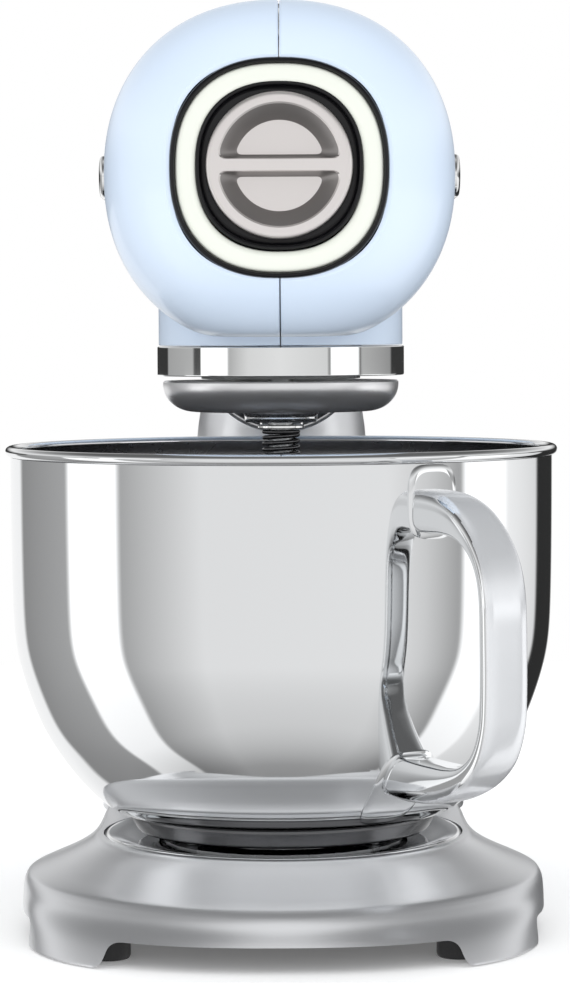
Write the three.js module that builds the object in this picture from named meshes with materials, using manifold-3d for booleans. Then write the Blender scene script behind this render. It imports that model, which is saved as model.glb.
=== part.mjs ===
// Tilt-head stand mixer: cast base and column, tilting head with planetary drive, steel bowl.
// Millimetres, +Z up, front towards -Y. Pieces are drawn around the bowl's axis (x = y = 0).
import * as THREE from 'three';
import { mergeVertices } from 'three/addons/utils/BufferGeometryUtils.js';
import Module from 'manifold-3d';

const wasm = await Module();
wasm.setup();

// ---- Driving dimensions ----
const GAP = 0.3; // clearance between touching pieces

const BASE_TOP = 38.8;
const BASE_CAP = 150; // the rounded rear end of the base starts here
const BASE_CAP_DEPTH = 65;
const ARCH_TOP = 10.5;
const ARCH_HALF = { front: 75, rear: 50 }; // half the gap between two legs
const ARCH_SIDE = { front: -50, rear: 148 }; // gap between two legs at each side
const FOOT_RADIUS = 9;
const FOOT_HEIGHT = 15.7;
const FOOT_PLACES = { front: [69.5, -73.5], rear: [64, 172] };
const SEAT_RADIUS = 74.7;
const SCREW_CIRCLE = 42;

const HINGE_Y = 160;
const HINGE_Z = 240;
const KNUCKLE_RADIUS = 37.5;
const PIN_RADIUS = 5;
const POST_HALF = 10; // half depth of the hinge post
const MAX_TILT = THREE.MathUtils.degToRad(27);

const HEAD_HALF_WIDTH = 69.3;
const HEAD_HALF_HEIGHT = 68.6;
const HEAD_Z = 309;
const HEAD_POWER = 2.2;
const HEAD_NOSE = -118;
const HEAD_DOME = -62; // the dome starts here
const DOME_DEPTH = 71.5; // the nose cuts it off before its pole
const HEAD_TAIL_START = 110;
const HEAD_TAIL = 259;
const SHELL_WALL = 3;
const NECK_RADIUS = 50.6;
const NECK_BOTTOM = 241.8;

const DRIVE_Z = 310; // axis of the motor and of the accessory drive
const PLANET_OFFSET = 24;
const RING_TEETH = 45;
const PLANET_TEETH = 15;
const CROWN_TEETH = 27;
const BEVEL_TEETH = 9;
const CROWN_PITCH = 33;
const BEVEL_PITCH = 11;
const SHAFT_RADIUS = 5;
const MOTOR_SHAFT_RADIUS = 4;
const BEARING_RADIUS = 11;

const COVER_RADIUS = 48.9;
const COVER_BOTTOM = 214.4;
const COVER_TOP = 227.2;
const BAND_RADIUS = 51.2;
const BAND_BOTTOM = 229.3;
const BAND_TOP = 241.4;
const SHAFT_END = 175;

const NOSE_HALF = 41.6; // half size of the squircle trim ring
const NOSE_INNER = 31.6;
const HUB_RADIUS = 27.9;
const HUB_FRONT = -122;

const BOWL_RIM = 115.6;
const BOWL_TOP = 200.6;
const BOWL_WALL = 1.2;
const BOWL_FLOOR = 47;
const HANDLE_ANGLE = THREE.MathUtils.degToRad(-90 + 31.3);
const HANDLE_REACH = 159.8;
const HANDLE_WIDTH = 19;
const HANDLE_THICKNESS = 6.5;

// ---- Finishes ----
function finish(color, roughness, metalness) {
  return new THREE.MeshStandardMaterial({ color, roughness, metalness });
}

const FINISHES = {
  bluePaint: finish(0xd8e6f5, 0.25, 0),
  silverPaint: finish(0xa6a9ac, 0.45, 0.6),
  satinNickel: finish(0xc2bdb9, 0.4, 0.9),
  chrome: finish(0xe6e8ea, 0.06, 1),
  polishedSteel: finish(0xd4d6d8, 0.1, 1),
  steel: finish(0x9a9da0, 0.35, 1),
  aluminium: finish(0xb4b7ba, 0.4, 0.9),
  blackPlastic: finish(0x17181a, 0.4, 0),
  rubber: finish(0x141414, 0.8, 0),
  copper: finish(0x9c5a35, 0.4, 0.8),
  brass: finish(0xb59a56, 0.35, 1),
  greenBoard: finish(0x2d5a3c, 0.6, 0),
};

// ---- Solids ----
// Shared vertices are merged and triangles that collapsed on an axis are dropped.
function solidOf(geometry) {
  const bare = geometry.clone();
  bare.deleteAttribute('normal');
  bare.deleteAttribute('uv');
  const merged = mergeVertices(bare, 1e-4);
  const corners = merged.index.array;
  const kept = [];
  for (let i = 0; i < corners.length; i += 3) {
    const [a, b, c] = corners.slice(i, i + 3);
    if (a !== b && b !== c && c !== a) {
      kept.push(a, b, c);
    }
  }
  return new wasm.Manifold(new wasm.Mesh({
    numProp: 3,
    vertProperties: new Float32Array(merged.attributes.position.array),
    triVerts: new Uint32Array(kept),
  }));
}

function geometryOf(solid) {
  const mesh = solid.getMesh();
  const geometry = new THREE.BufferGeometry();
  geometry.setAttribute('position', new THREE.BufferAttribute(mesh.vertProperties, 3));
  geometry.setIndex(new THREE.BufferAttribute(mesh.triVerts, 1));
  geometry.computeVertexNormals();
  return geometry;
}

// A body of revolution about +Z. The profile is [radius, z] pairs, up the outside, down the inside.
function turned(profile, segments = 32) {
  const points = profile.map(([radius, z]) => new THREE.Vector2(radius, z));
  return solidOf(new THREE.LatheGeometry(points, segments).rotateX(Math.PI / 2));
}

function rod(radius, z0, z1, segments = 16) {
  return turned([[0, z0], [radius, z0], [radius, z1], [0, z1]], segments);
}

function tube(inner, outer, z0, z1, segments = 20) {
  return turned([[inner, z0], [outer, z0], [outer, z1], [inner, z1], [inner, z0]], segments);
}

function block(x0, x1, y0, y1, z0, z1) {
  const box = new THREE.BoxGeometry(x1 - x0, y1 - y0, z1 - z0);
  return solidOf(box.translate((x0 + x1) / 2, (y0 + y1) / 2, (z0 + z1) / 2));
}

function plate(shape, z0, z1, curveSegments = 12) {
  const options = { depth: z1 - z0, bevelEnabled: false, curveSegments };
  return solidOf(new THREE.ExtrudeGeometry(shape, options).translate(0, 0, z0));
}

// A solid through a stack of closed rings of equal length, each an array of Vector3, with flat ends.
function loft(rings) {
  const count = rings[0].length;
  const positions = rings.flat().flatMap((point) => point.toArray());
  const index = [];
  for (let row = 0; row + 1 < rings.length; row += 1) {
    for (let i = 0; i < count; i += 1) {
      const a = row * count + i;
      const b = row * count + ((i + 1) % count);
      index.push(a, b, b + count, a, b + count, a + count);
    }
  }
  const last = (rings.length - 1) * count;
  for (let i = 1; i + 1 < count; i += 1) {
    index.push(0, i + 1, i);
    index.push(last, last + i, last + i + 1);
  }
  const geometry = new THREE.BufferGeometry();
  geometry.setAttribute('position', new THREE.Float32BufferAttribute(positions, 3));
  geometry.setIndex(index);
  return solidOf(geometry);
}

const alongX = (solid) => solid.rotate([0, 90, 0]);
const alongBack = (solid) => solid.rotate([-90, 0, 0]); // +Z becomes +Y
const alongFront = (solid) => solid.rotate([90, 0, 0]); // +Z becomes -Y

function add(group, name, solid, material, position = [0, 0, 0]) {
  const mesh = new THREE.Mesh(geometryOf(solid), material);
  mesh.name = name;
  mesh.position.set(...position);
  group.add(mesh);
}

// One coordinate of a superellipse: sign(t) |t|^(2 / power).
const curved = (t, power) => Math.sign(t) * Math.abs(t) ** (2 / power);

// ---- Base ----
const BASE_STATIONS = [
  // z, half width, front, fullness of the front's curve, half width at the rear
  [0.8, 107.5, 112, 2.8, 84],
  [10, 108.2, 110.5, 2.5, 84.5],
  [17, 108.4, 109, 2.2, 84.5],
  [21, 107.9, 107.9, 2, 84],
  [24, 106.1, 106.1, 2, 83],
  [27, 99, 99, 2, 80.5],
  [31, 90, 90, 2, 78.5],
  [35, 82.6, 82.6, 2, 77.5],
  [BASE_TOP, 78.5, 78.5, 2, 77],
];

// Plan of the base at one height. The front is round around the bowl and squarer at the feet. The sides
// fall from it to the rear's half width as exp(-y^2 / reach), and a superelliptic cap closes the rear.
function basePlan([z, halfWidth, frontDepth, fullness, rearHalf], inset = 0) {
  const half = halfWidth - inset;
  const front = frontDepth - inset;
  const rear = rearHalf - inset;
  const cap = BASE_CAP_DEPTH - inset - 1.2 * (84.5 - rearHalf);
  const reach = 1.5 * half * (half - rear);
  const side = (y) => rear + (half - rear) * Math.exp(-(y ** 2) / reach);
  const points = [];
  const frontSteps = 16;
  for (let i = 0; i <= frontSteps; i += 1) {
    const angle = -Math.PI + (Math.PI * i) / frontSteps;
    const x = half * curved(Math.cos(angle), fullness);
    points.push(new THREE.Vector3(x, front * curved(Math.sin(angle), fullness), z));
  }
  const sideSteps = 8;
  for (let i = 1; i < sideSteps; i += 1) {
    const y = (BASE_CAP * i) / sideSteps;
    points.push(new THREE.Vector3(side(y), y, z));
  }
  const capSteps = 12;
  for (let i = 0; i <= capSteps; i += 1) {
    const angle = (Math.PI * i) / capSteps;
    const x = side(BASE_CAP) * curved(Math.cos(angle), 3);
    points.push(new THREE.Vector3(x, BASE_CAP + cap * curved(Math.sin(angle), 3), z));
  }
  for (let i = sideSteps - 1; i > 0; i -= 1) {
    const y = (BASE_CAP * i) / sideSteps;
    points.push(new THREE.Vector3(-side(y), y, z));
  }
  return points;
}

function baseOuter(raise = 0) {
  return loft(BASE_STATIONS.map(([z, ...plan]) => basePlan([z + raise, ...plan])));
}

// The casting is hollow underneath, and the skirt is arched on all four sides between the legs.
function baseCasting() {
  const wall = 5;
  const hollow = loft([
    basePlan([-1, 107.5, 112, 2.8, 84], wall),
    basePlan([17, 108.4, 109, 2.2, 84.5], wall),
    basePlan([23, 106.1, 106.1, 2, 83], wall + 2),
    basePlan([32.5, 78, 78, 2, 76], wall),
  ]);
  const frontArch = block(-ARCH_HALF.front, ARCH_HALF.front, -130, 0, -1, ARCH_TOP);
  const rearArch = block(-ARCH_HALF.rear, ARCH_HALF.rear, 100, 230, -1, ARCH_TOP);
  const sideArch = block(-120, 120, ARCH_SIDE.front, ARCH_SIDE.rear, -1, ARCH_TOP);
  const seat = rod(SEAT_RADIUS + GAP, 36, BASE_TOP + 1, 32);
  return baseOuter().subtract(hollow).subtract(frontArch).subtract(rearArch).subtract(sideArch)
    .subtract(seat);
}

function bottomPlate() {
  const plan = [108.4, 109, 2.2, 84.5];
  return loft([basePlan([16, ...plan], 7.5), basePlan([18, ...plan], 7.5)]);
}

function foot() {
  const stem = 4.5;
  const shoulder = 9.5;
  return turned([
    [0, 0], [8.2, 0], [FOOT_RADIUS, 1.2], [FOOT_RADIUS, shoulder], [stem, shoulder],
    [stem, FOOT_HEIGHT], [0, FOOT_HEIGHT],
  ], 16);
}

function seatDish() {
  return turned([
    [0, 36.3], [SEAT_RADIUS, 36.3], [SEAT_RADIUS, 38], [SEAT_RADIUS - 1, 38.6],
    [65, 38.6], [62, 37.6], [0, 37.6],
  ]);
}

// ---- Column ----
const COLUMN_STATIONS = [
  // half width, front y, back y, z
  [83.4, 78, 213, 28], [83.4, 78, 213, 40], [82, 80, 213, 48], [74, 87, 212.5, 60],
  [63, 98, 212, 76], [53.5, 108, 212, 98], [46.5, 115, 212.5, 128], [42, 118, 213, 165],
  [39.4, 118, 213, 200], [36.5, 119, 210, 212], [35.6, 121, 206, 219],
];

// The column's solid, or the same drawn smaller all round by an inset, for its inside.
function columnBody(inset = 0) {
  const power = 2.7;
  const steps = 36;
  return loft(COLUMN_STATIONS.map(([half, front, back, z]) => {
    const points = [];
    for (let i = 0; i < steps; i += 1) {
      const angle = (2 * Math.PI * i) / steps;
      const x = (half - inset) * curved(Math.cos(angle), power);
      const y = (front + back) / 2 + ((back - front) / 2 - inset) * curved(Math.sin(angle), power);
      points.push(new THREE.Vector3(x, y, z));
    }
    return points;
  }));
}

const COLUMN_WALL = 6;
const COLUMN_HOLLOW_TOP = 168; // solid above, under the saddle
const COVER_OPENING = { half: 28, front: 196, bottom: 62, top: 166 };
const CORD_Z = 80;
const BUTTON_Z = 184;
const LATCH_ROOM = 172; // the latch's bore starts here and runs out of the back

// A hollow casting with a saddle for the knuckle, a pocket for the hinge post and a bore for the latch.
function columnCasting() {
  const { half, front, bottom, top } = COVER_OPENING;
  const saddle = alongBack(rod(KNUCKLE_RADIUS + 0.7, 100, 230, 32)).translate([0, 0, HINGE_Z]);
  const inside = columnBody(COLUMN_WALL).intersect(block(-100, 100, 0, 300, 0, COLUMN_HOLLOW_TOP));
  const coverOpening = block(-half, half, front, 230, bottom, top);
  const postPocket = block(-9.3, 9.3, 149.7, 170.3, 189.7, 230);
  const latchBore = alongBack(rod(9.2, LATCH_ROOM, 230)).translate([0, 0, BUTTON_Z]);
  const tilt = -THREE.MathUtils.radToDeg(MAX_TILT);
  const backSlope = block(-60, 60, 0, 60, 0, 60).rotate([tilt, 0, 0]).translate([0, HINGE_Y + 20, 227.5]);
  return columnBody().subtract(baseOuter(GAP)).subtract(inside).subtract(saddle).subtract(coverOpening)
    .subtract(postPocket).subtract(latchBore).subtract(backSlope);
}

function columnRearCover() {
  const { half, front, bottom, top } = COVER_OPENING;
  const outside = block(-half + GAP, half - GAP, front, 230, bottom + GAP, top - GAP);
  const inside = block(-half + 3, half - 3, front - 1, 209, bottom + 3, top - 3);
  const cordHole = alongBack(rod(7.3, 180, 230)).translate([0, 0, CORD_Z]);
  return columnBody().intersect(outside).subtract(inside).subtract(cordHole);
}

function cordGland() {
  const profile = [[3.6, -8], [7, -8], [7, 4.3], [9, 4.3], [9, 6], [6, 14], [3.6, 14], [3.6, -8]];
  return alongBack(turned(profile, 24)).translate([0, 208, CORD_Z]);
}

// ---- Tilt hinge ----
function hingePost() {
  const stem = block(-9, 9, HINGE_Y - POST_HALF, HINGE_Y + POST_HALF, 190, HINGE_Z);
  const eye = alongX(rod(POST_HALF, -9, 9)).translate([0, HINGE_Y, HINGE_Z]);
  const bore = alongX(rod(PIN_RADIUS + GAP, -20, 20)).translate([0, HINGE_Y, HINGE_Z]);
  return stem.add(eye).subtract(bore);
}

const ballOf = (radius) => solidOf(new THREE.SphereGeometry(radius, 28, 16).rotateX(Math.PI / 2));

// The knuckle is a ball cut off inside the head. Its slot lets the post swing through the tilt.
function hingeKnuckle() {
  const [sine, cosine] = [Math.sin(MAX_TILT + 0.02), Math.cos(MAX_TILT + 0.02)];
  const side = POST_HALF + 0.8;
  const wedge = new THREE.Shape([
    new THREE.Vector2(-side, 0),
    new THREE.Vector2(-side, -60),
    new THREE.Vector2(side * cosine + 60 * sine, side * sine - 60 * cosine),
    new THREE.Vector2(side * cosine, side * sine),
  ]);
  const slot = plate(wedge, -10, 10).rotate([90, 0, 90]).add(alongX(rod(20, -10, 10)));
  const bushBore = alongX(rod(8, -28, 28));
  const cap = block(-60, 60, -60, 60, 21.5, 60);
  const relief = block(-10, 10, -16, 16, 0, 30);
  return ballOf(KNUCKLE_RADIUS).subtract(slot).subtract(bushBore).subtract(cap).subtract(relief)
    .translate([0, HINGE_Y, HINGE_Z]);
}

function hingeBush(side) {
  const [inner, outer] = side < 0 ? [-27, -10.3] : [10.3, 27];
  return alongX(tube(PIN_RADIUS + 0.12, 7.7, inner, outer)).translate([0, HINGE_Y, HINGE_Z]);
}

// ---- Head ----
// Scale of the head's section at a place along its length: round dome at the nose, long tapered tail.
function headScale(y) {
  if (y < HEAD_DOME) {
    return Math.sqrt(1 - ((HEAD_DOME - y) / DOME_DEPTH) ** 2);
  }
  const along = Math.max(0, (y - HEAD_TAIL_START) / (HEAD_TAIL - HEAD_TAIL_START));
  return (1 - 0.995 * along ** 2.4) ** 0.45;
}

function headRing(y, scale) {
  const steps = 28;
  const points = [];
  for (let i = 0; i < steps; i += 1) {
    const angle = (2 * Math.PI * i) / steps;
    const x = HEAD_HALF_WIDTH * scale * curved(Math.cos(angle), HEAD_POWER);
    const z = HEAD_Z + HEAD_HALF_HEIGHT * scale * curved(Math.sin(angle), HEAD_POWER);
    points.push(new THREE.Vector3(x, y, z));
  }
  return points.reverse();
}

const HEAD_STATIONS = [
  HEAD_NOSE, -108, -88, HEAD_DOME, HEAD_TAIL_START, 150, 185, 212, 233, 247, 256, HEAD_TAIL,
];

// The head's solid, or the same drawn smaller all round by an inset, for its inside.
function headBody(inset) {
  const shrink = 1 - inset / HEAD_HALF_WIDTH;
  return loft(HEAD_STATIONS.map((y) => {
    const moved = y > 0 ? y - (inset * y) / HEAD_TAIL : y + inset;
    return headRing(moved, headScale(y) * shrink);
  }));
}

function squircle(half) {
  const steps = 32;
  const power = 2.6;
  const points = [];
  for (let i = 0; i < steps; i += 1) {
    const angle = (2 * Math.PI * i) / steps;
    const x = half * curved(Math.cos(angle), power);
    points.push(new THREE.Vector2(x, half * curved(Math.sin(angle), power)));
  }
  return points;
}

// A squircle plate in the nose, with its axis along -Y, from one place along it to another.
function nosePlate(half, front, back) {
  return alongFront(plate(new THREE.Shape(squircle(half)), -back, -front)).translate([0, 0, HEAD_Z]);
}

function frontTrimRing() {
  const hole = nosePlate(NOSE_INNER, -130, -100);
  return nosePlate(NOSE_HALF, -121, -108).subtract(hole);
}

function frontBezel() {
  const hole = alongFront(rod(HUB_RADIUS + 0.5, 100, 130, 32)).translate([0, 0, DRIVE_Z]);
  return nosePlate(NOSE_INNER - GAP, -117, -111.5).subtract(hole);
}

const STRIP_BOTTOM = 375.6;
const STRIP_TOP = 377.3;
const STRIP_HALF = 8;
const LEVER_SLOT = { half: 4.7, front: -14, back: 104 };
const BADGE = { front: -62, back: 26, height: 17, proud: 2.8 };

function leverSlot() {
  return block(-LEVER_SLOT.half, LEVER_SLOT.half, LEVER_SLOT.front, LEVER_SLOT.back, 360, 400);
}

function stripBlock(room, z0, z1) {
  const half = STRIP_HALF + room;
  return block(-half, half, LEVER_SLOT.front - 20 - room, LEVER_SLOT.back + 16 + room, z0, z1);
}

function headShells() {
  const neck = tube(NECK_RADIUS - SHELL_WALL, NECK_RADIUS, NECK_BOTTOM, 275, 36);
  const neckInside = rod(NECK_RADIUS - SHELL_WALL, 230, 280, 36);
  const bandRoom = rod(BAND_RADIUS + GAP, 230, NECK_BOTTOM, 36);
  const knuckleRoom = ballOf(KNUCKLE_RADIUS + 0.8).translate([0, HINGE_Y, HINGE_Z]);
  const nose = nosePlate(NOSE_HALF + GAP, -140, -100);
  const stripBed = stripBlock(GAP, STRIP_BOTTOM - GAP, 400);
  const outside = headBody(0).add(neck).subtract(headBody(SHELL_WALL)).subtract(neckInside);
  const shell = outside.subtract(bandRoom).subtract(knuckleRoom).subtract(nose)
    .subtract(leverSlot()).subtract(stripBed);
  return {
    left: shell.intersect(block(-100, -GAP / 2, -200, 300, 200, 400)),
    right: shell.intersect(block(GAP / 2, 100, -200, 300, 200, 400)),
  };
}

function scaleStrip() {
  return stripBlock(0, STRIP_BOTTOM, STRIP_TOP).subtract(leverSlot());
}

function speedLever() {
  const stem = block(-4, 4, 0, 20, 370, 379);
  const knob = solidOf(new THREE.SphereGeometry(1, 16, 8).rotateX(Math.PI / 2).scale(7.5, 11, 3.2))
    .translate([0, 10, STRIP_TOP + 3.6]);
  return stem.add(knob);
}

// A rounded bar laid on the flank of the head.
function sideBadge(side) {
  const { front, back, height, proud } = BADGE;
  const r = height / 2;
  const shape = new THREE.Shape();
  shape.absarc(front + r, 0, r, Math.PI / 2, 1.5 * Math.PI);
  shape.absarc(back - r, 0, r, -Math.PI / 2, Math.PI / 2);
  const bar = plate(shape, 60, HEAD_HALF_WIDTH + proud, 8).rotate([90, 0, 90]).translate([0, 0, HEAD_Z]);
  const placed = side > 0 ? bar : bar.mirror([1, 0, 0]);
  return placed.subtract(headBody(-GAP));
}

// Casting that carries the gears and the motor, bolted down on the knuckle.
function headFrame() {
  const bed = block(-26, 26, -64, 190, 262, 266);
  const gearCase = rod(15, 249, 286);
  const frontWall = block(-13, 13, -64, -60, 262, DRIVE_Z);
  const frontEye = alongBack(rod(16, -64, -60)).translate([0, 0, DRIVE_Z]);
  const motorWall = block(-22, 22, 56, 60, 262, DRIVE_Z);
  const motorEye = alongBack(rod(30, 56, 60)).translate([0, 0, DRIVE_Z]);
  const rearWall = block(-26, 26, 186, 190, 262, 300);
  const shaftBore = alongBack(rod(SHAFT_RADIUS + 0.6, -80, 80)).translate([0, 0, DRIVE_Z]);
  const lowerSeat = rod(BEARING_RADIUS + GAP, 248, 256.4);
  const upperSeat = rod(BEARING_RADIUS + GAP, 278.6, 290);
  const centreBore = rod(SHAFT_RADIUS + 1, 240, 290);
  return bed.add(gearCase).add(frontWall).add(frontEye).add(motorWall).add(motorEye).add(rearWall)
    .subtract(shaftBore).subtract(lowerSeat).subtract(upperSeat).subtract(centreBore);
}

const bearing = (z0, z1) => tube(SHAFT_RADIUS + GAP, BEARING_RADIUS, z0, z1);

// ---- Gears ----
// Outline of a spur or bevel gear: two root and two tip corners for each tooth, the first tooth at phase.
function gearOutline(teeth, root, tip, phase, rootShare = 0.27, tipShare = 0.1) {
  const pitch = (2 * Math.PI) / teeth;
  const points = [];
  for (let i = 0; i < teeth; i += 1) {
    const centre = phase + i * pitch;
    const corners = [[root, -rootShare], [tip, -tipShare], [tip, tipShare], [root, rootShare]];
    for (const [radius, share] of corners) {
      const angle = centre + share * pitch;
      points.push(new THREE.Vector2(radius * Math.cos(angle), radius * Math.sin(angle)));
    }
  }
  return points;
}

function ringGear() {
  const shape = new THREE.Shape();
  shape.absarc(0, 0, 46.5, 0, 2 * Math.PI);
  const halfPitch = Math.PI / RING_TEETH;
  shape.holes.push(new THREE.Path(gearOutline(RING_TEETH, 37.6, 35, -Math.PI / 2 + halfPitch)));
  return plate(shape, 233, 239, 12);
}

function planetPinion() {
  const shape = new THREE.Shape(gearOutline(PLANET_TEETH, 10.4, 12.9, -Math.PI / 2));
  return plate(shape, 232.8, 239.2).subtract(rod(SHAFT_RADIUS + GAP, 230, 242));
}

// Bevel flanks all meet at the apex, so the tooth star shrinks evenly from the back face towards it.
function bevelTeeth(teeth, distance, root, tip, phase) {
  const inner = 0.66;
  const shape = new THREE.Shape(gearOutline(teeth, root, tip, phase, 0.25, 0.08));
  const geometry = new THREE.ExtrudeGeometry(shape, { depth: 1, bevelEnabled: false });
  const points = geometry.attributes.position;
  for (let i = 0; i < points.count; i += 1) {
    const scale = points.getZ(i) > 0.5 ? inner : 1;
    points.setXYZ(i, points.getX(i) * scale, points.getY(i) * scale, -distance * scale);
  }
  return solidOf(geometry);
}

function crownWheel() {
  const teeth = bevelTeeth(CROWN_TEETH, BEVEL_PITCH, 27.8, 38, Math.PI / 2);
  const disc = rod(25, -16, -10, 27).add(rod(10, -19.7, -9));
  return teeth.add(disc).subtract(rod(SHAFT_RADIUS + GAP, -40, 0));
}

function bevelPinion() {
  const teeth = bevelTeeth(BEVEL_TEETH, CROWN_PITCH, 9.3, 12.4, Math.PI / 2);
  return teeth.add(rod(8, -42, -30)).subtract(rod(MOTOR_SHAFT_RADIUS + GAP, -60, 0));
}

// ---- Planetary drive ----
function planetCarrier() {
  const plateDisc = rod(33, 228, 231.6, 24).add(rod(8.6, 228, 246));
  const toolBore = rod(SHAFT_RADIUS + 1, 220, 240).translate([0, -PLANET_OFFSET, 0]);
  return plateDisc.subtract(toolBore).subtract(rod(SHAFT_RADIUS + GAP, 220, 250));
}

// The cover is a rounded disc with a boss around the tool shaft and a pocket for its bearing.
function planetaryCover() {
  const depth = COVER_TOP - COVER_BOTTOM;
  const profile = [[0, COVER_BOTTOM], [COVER_RADIUS - depth, COVER_BOTTOM]];
  for (let i = 1; i <= 6; i += 1) {
    const angle = (Math.PI / 2) * (i / 6);
    profile.push([COVER_RADIUS - depth * (1 - Math.sin(angle)), COVER_TOP - depth * Math.cos(angle)]);
  }
  profile.push([COVER_RADIUS - 3, COVER_TOP], [COVER_RADIUS - 3, COVER_TOP - 3], [0, COVER_TOP - 3]);
  const boss = rod(14.7, 210.5, 226.5, 24).translate([0, -PLANET_OFFSET, 0]);
  const bearingSeat = rod(BEARING_RADIUS + GAP, 218, 240);
  const shaftBore = rod(SHAFT_RADIUS + 1, 200, 240);
  const pocket = bearingSeat.add(shaftBore).translate([0, -PLANET_OFFSET, 0]);
  return turned(profile, 36).add(boss).subtract(pocket);
}

function toolShaft() {
  const shaft = rod(SHAFT_RADIUS, SHAFT_END, 242).translate([0, -PLANET_OFFSET, 0]);
  const pinHole = alongX(rod(1.8, -10, 10, 16)).translate([0, -PLANET_OFFSET, SHAFT_END + 8]);
  return shaft.subtract(pinHole);
}

// ---- Motor ----
const ROTOR_RADIUS = 23.3;

function motorFan() {
  const blades = 9;
  let fan = tube(MOTOR_SHAFT_RADIUS + GAP, 10, 127, 134);
  for (let i = 0; i < blades; i += 1) {
    const blade = block(8.5, 32, -1, 1, 127.5, 133.5).rotate([0, 0, (360 * i) / blades]);
    fan = fan.add(blade);
  }
  return fan;
}

function motorStator() {
  const laminations = block(-38, 38, -38, 38, 64, 118).intersect(rod(44, 60, 130, 24));
  return laminations.subtract(rod(ROTOR_RADIUS + 1, 50, 130, 24));
}

function rotorCore() {
  return tube(MOTOR_SHAFT_RADIUS + GAP, ROTOR_RADIUS, 66, 116, 24);
}

function rearBracket() {
  return rod(40, 138, 142, 24).subtract(rod(MOTOR_SHAFT_RADIUS + 0.6, 130, 150));
}

// ---- Nose ----
function hubCover() {
  const disc = alongFront(rod(HUB_RADIUS, 112, -HUB_FRONT, 32));
  const pocket = alongFront(turned([[0, 115.5], [21.5, 115.5], [23.6, 124], [0, 124]], 24));
  const bar = block(-24.5, 24.5, -121.5, -114, -2.7, 2.7);
  const spigot = alongFront(tube(17, 20, 104, 113));
  return disc.subtract(pocket).add(bar).add(spigot).translate([0, 0, DRIVE_Z]);
}

function hubHousing() {
  const body = alongFront(tube(20.5, 25, 84, 111));
  const neck = alongFront(tube(7, 25, 80, 85));
  return body.add(neck).translate([0, 0, DRIVE_Z]);
}

// Round shaft from the bevel gear, with a square socket at the front.
function accessoryShaft() {
  const shaft = alongFront(rod(MOTOR_SHAFT_RADIUS, 27, 75)).add(alongFront(rod(6.4, 74, 104)));
  return shaft.subtract(block(-3.6, 3.6, -105, -84, -3.6, 3.6)).translate([0, 0, DRIVE_Z]);
}

// ---- Bowl ----
const BOWL_OUTSIDE = [
  // outer radius, z
  [54, BOWL_FLOOR], [69, 49.3], [80, 58], [90.6, 70], [99, 83], [106, 100], [110.2, 115], [112, 135],
  [112.6, 190],
];

function bowlShell() {
  const rim = [
    [112.6, 195.4], [BOWL_RIM - 0.6, 196.6], [BOWL_RIM, 198.8], [BOWL_RIM - 1.2, BOWL_TOP],
    [BOWL_RIM - 3.4, BOWL_TOP],
  ];
  const inside = BOWL_OUTSIDE.map(([r, z]) => [r - BOWL_WALL, z > 60 ? z : z + BOWL_WALL]).reverse();
  const floor = [0, BOWL_FLOOR + BOWL_WALL];
  return turned([[0, BOWL_FLOOR], ...BOWL_OUTSIDE, ...rim, ...inside, floor], 36);
}

function bowlFoot() {
  return turned([[52, 40.6], [58.2, 40.6], [59.3, 42], [59.3, 46.7], [52, 46.7], [52, 40.6]], 32);
}

// Strap handle: a band along a rounded D in the plane through the bowl's axis, ending in welded tabs.
function bowlHandle() {
  const corners = [
    // distance from the bowl's axis, z
    [114.4, 192], [114.4, 180], [134, 176.5], [150, 168], [HANDLE_REACH, 149], [HANDLE_REACH, 100],
    [151, 81], [134, 72.5], [106, 72], [96, 74],
  ];
  const knots = corners.map(([r, z]) => new THREE.Vector3(r, 0, z));
  const route = new THREE.CatmullRomCurve3(knots, false, 'catmullrom', 0.35);
  const half = HANDLE_WIDTH / 2;
  const thick = HANDLE_THICKNESS / 2;
  const section = new THREE.Shape([
    new THREE.Vector2(-half, -thick), new THREE.Vector2(half, -thick),
    new THREE.Vector2(half, thick), new THREE.Vector2(-half, thick),
  ]);
  const band = new THREE.ExtrudeGeometry(section, { steps: 36, extrudePath: route });
  const clearOfBowl = BOWL_OUTSIDE.map(([r, z]) => [r + GAP, z - GAP]);
  const bowlRoom = turned([[0, 30], ...clearOfBowl, [118, 193], [118, 210], [0, 210]], 36);
  const turn = THREE.MathUtils.radToDeg(HANDLE_ANGLE);
  return solidOf(band).rotate([0, 0, turn]).subtract(bowlRoom);
}

// ---- Assembly ----
const mixer = new THREE.Group();
const base = new THREE.Group();
const head = new THREE.Group();
const bowl = new THREE.Group();
mixer.add(base, head, bowl);

const F = FINISHES;
add(base, 'base_casting', baseCasting(), F.silverPaint);
add(base, 'base_bottom_plate', bottomPlate(), F.blackPlastic);
add(base, 'bowl_seat_dish', seatDish(), F.polishedSteel);
for (let i = 0; i < 3; i += 1) {
  const angle = (2 * Math.PI * i) / 3 + Math.PI / 2;
  const screwAt = [SCREW_CIRCLE * Math.cos(angle), SCREW_CIRCLE * Math.sin(angle), 0];
  add(base, `seat_screw_${i + 1}`, rod(3.5, 37.9, 38.5), F.steel, screwAt);
}
for (const [end, [x, y]] of Object.entries(FOOT_PLACES)) {
  add(base, `foot_${end}_left`, foot(), F.rubber, [-x, y, 0]);
  add(base, `foot_${end}_right`, foot(), F.rubber, [x, y, 0]);
}
add(base, 'column_casting', columnCasting(), F.silverPaint);
add(base, 'column_rear_cover', columnRearCover(), F.silverPaint);
add(base, 'cord_inlet_gland', cordGland(), F.rubber);
add(base, 'hinge_post', hingePost(), F.steel);
add(base, 'hinge_pin', alongX(rod(PIN_RADIUS, -27, 27)), F.steel, [0, HINGE_Y, HINGE_Z]);

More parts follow.
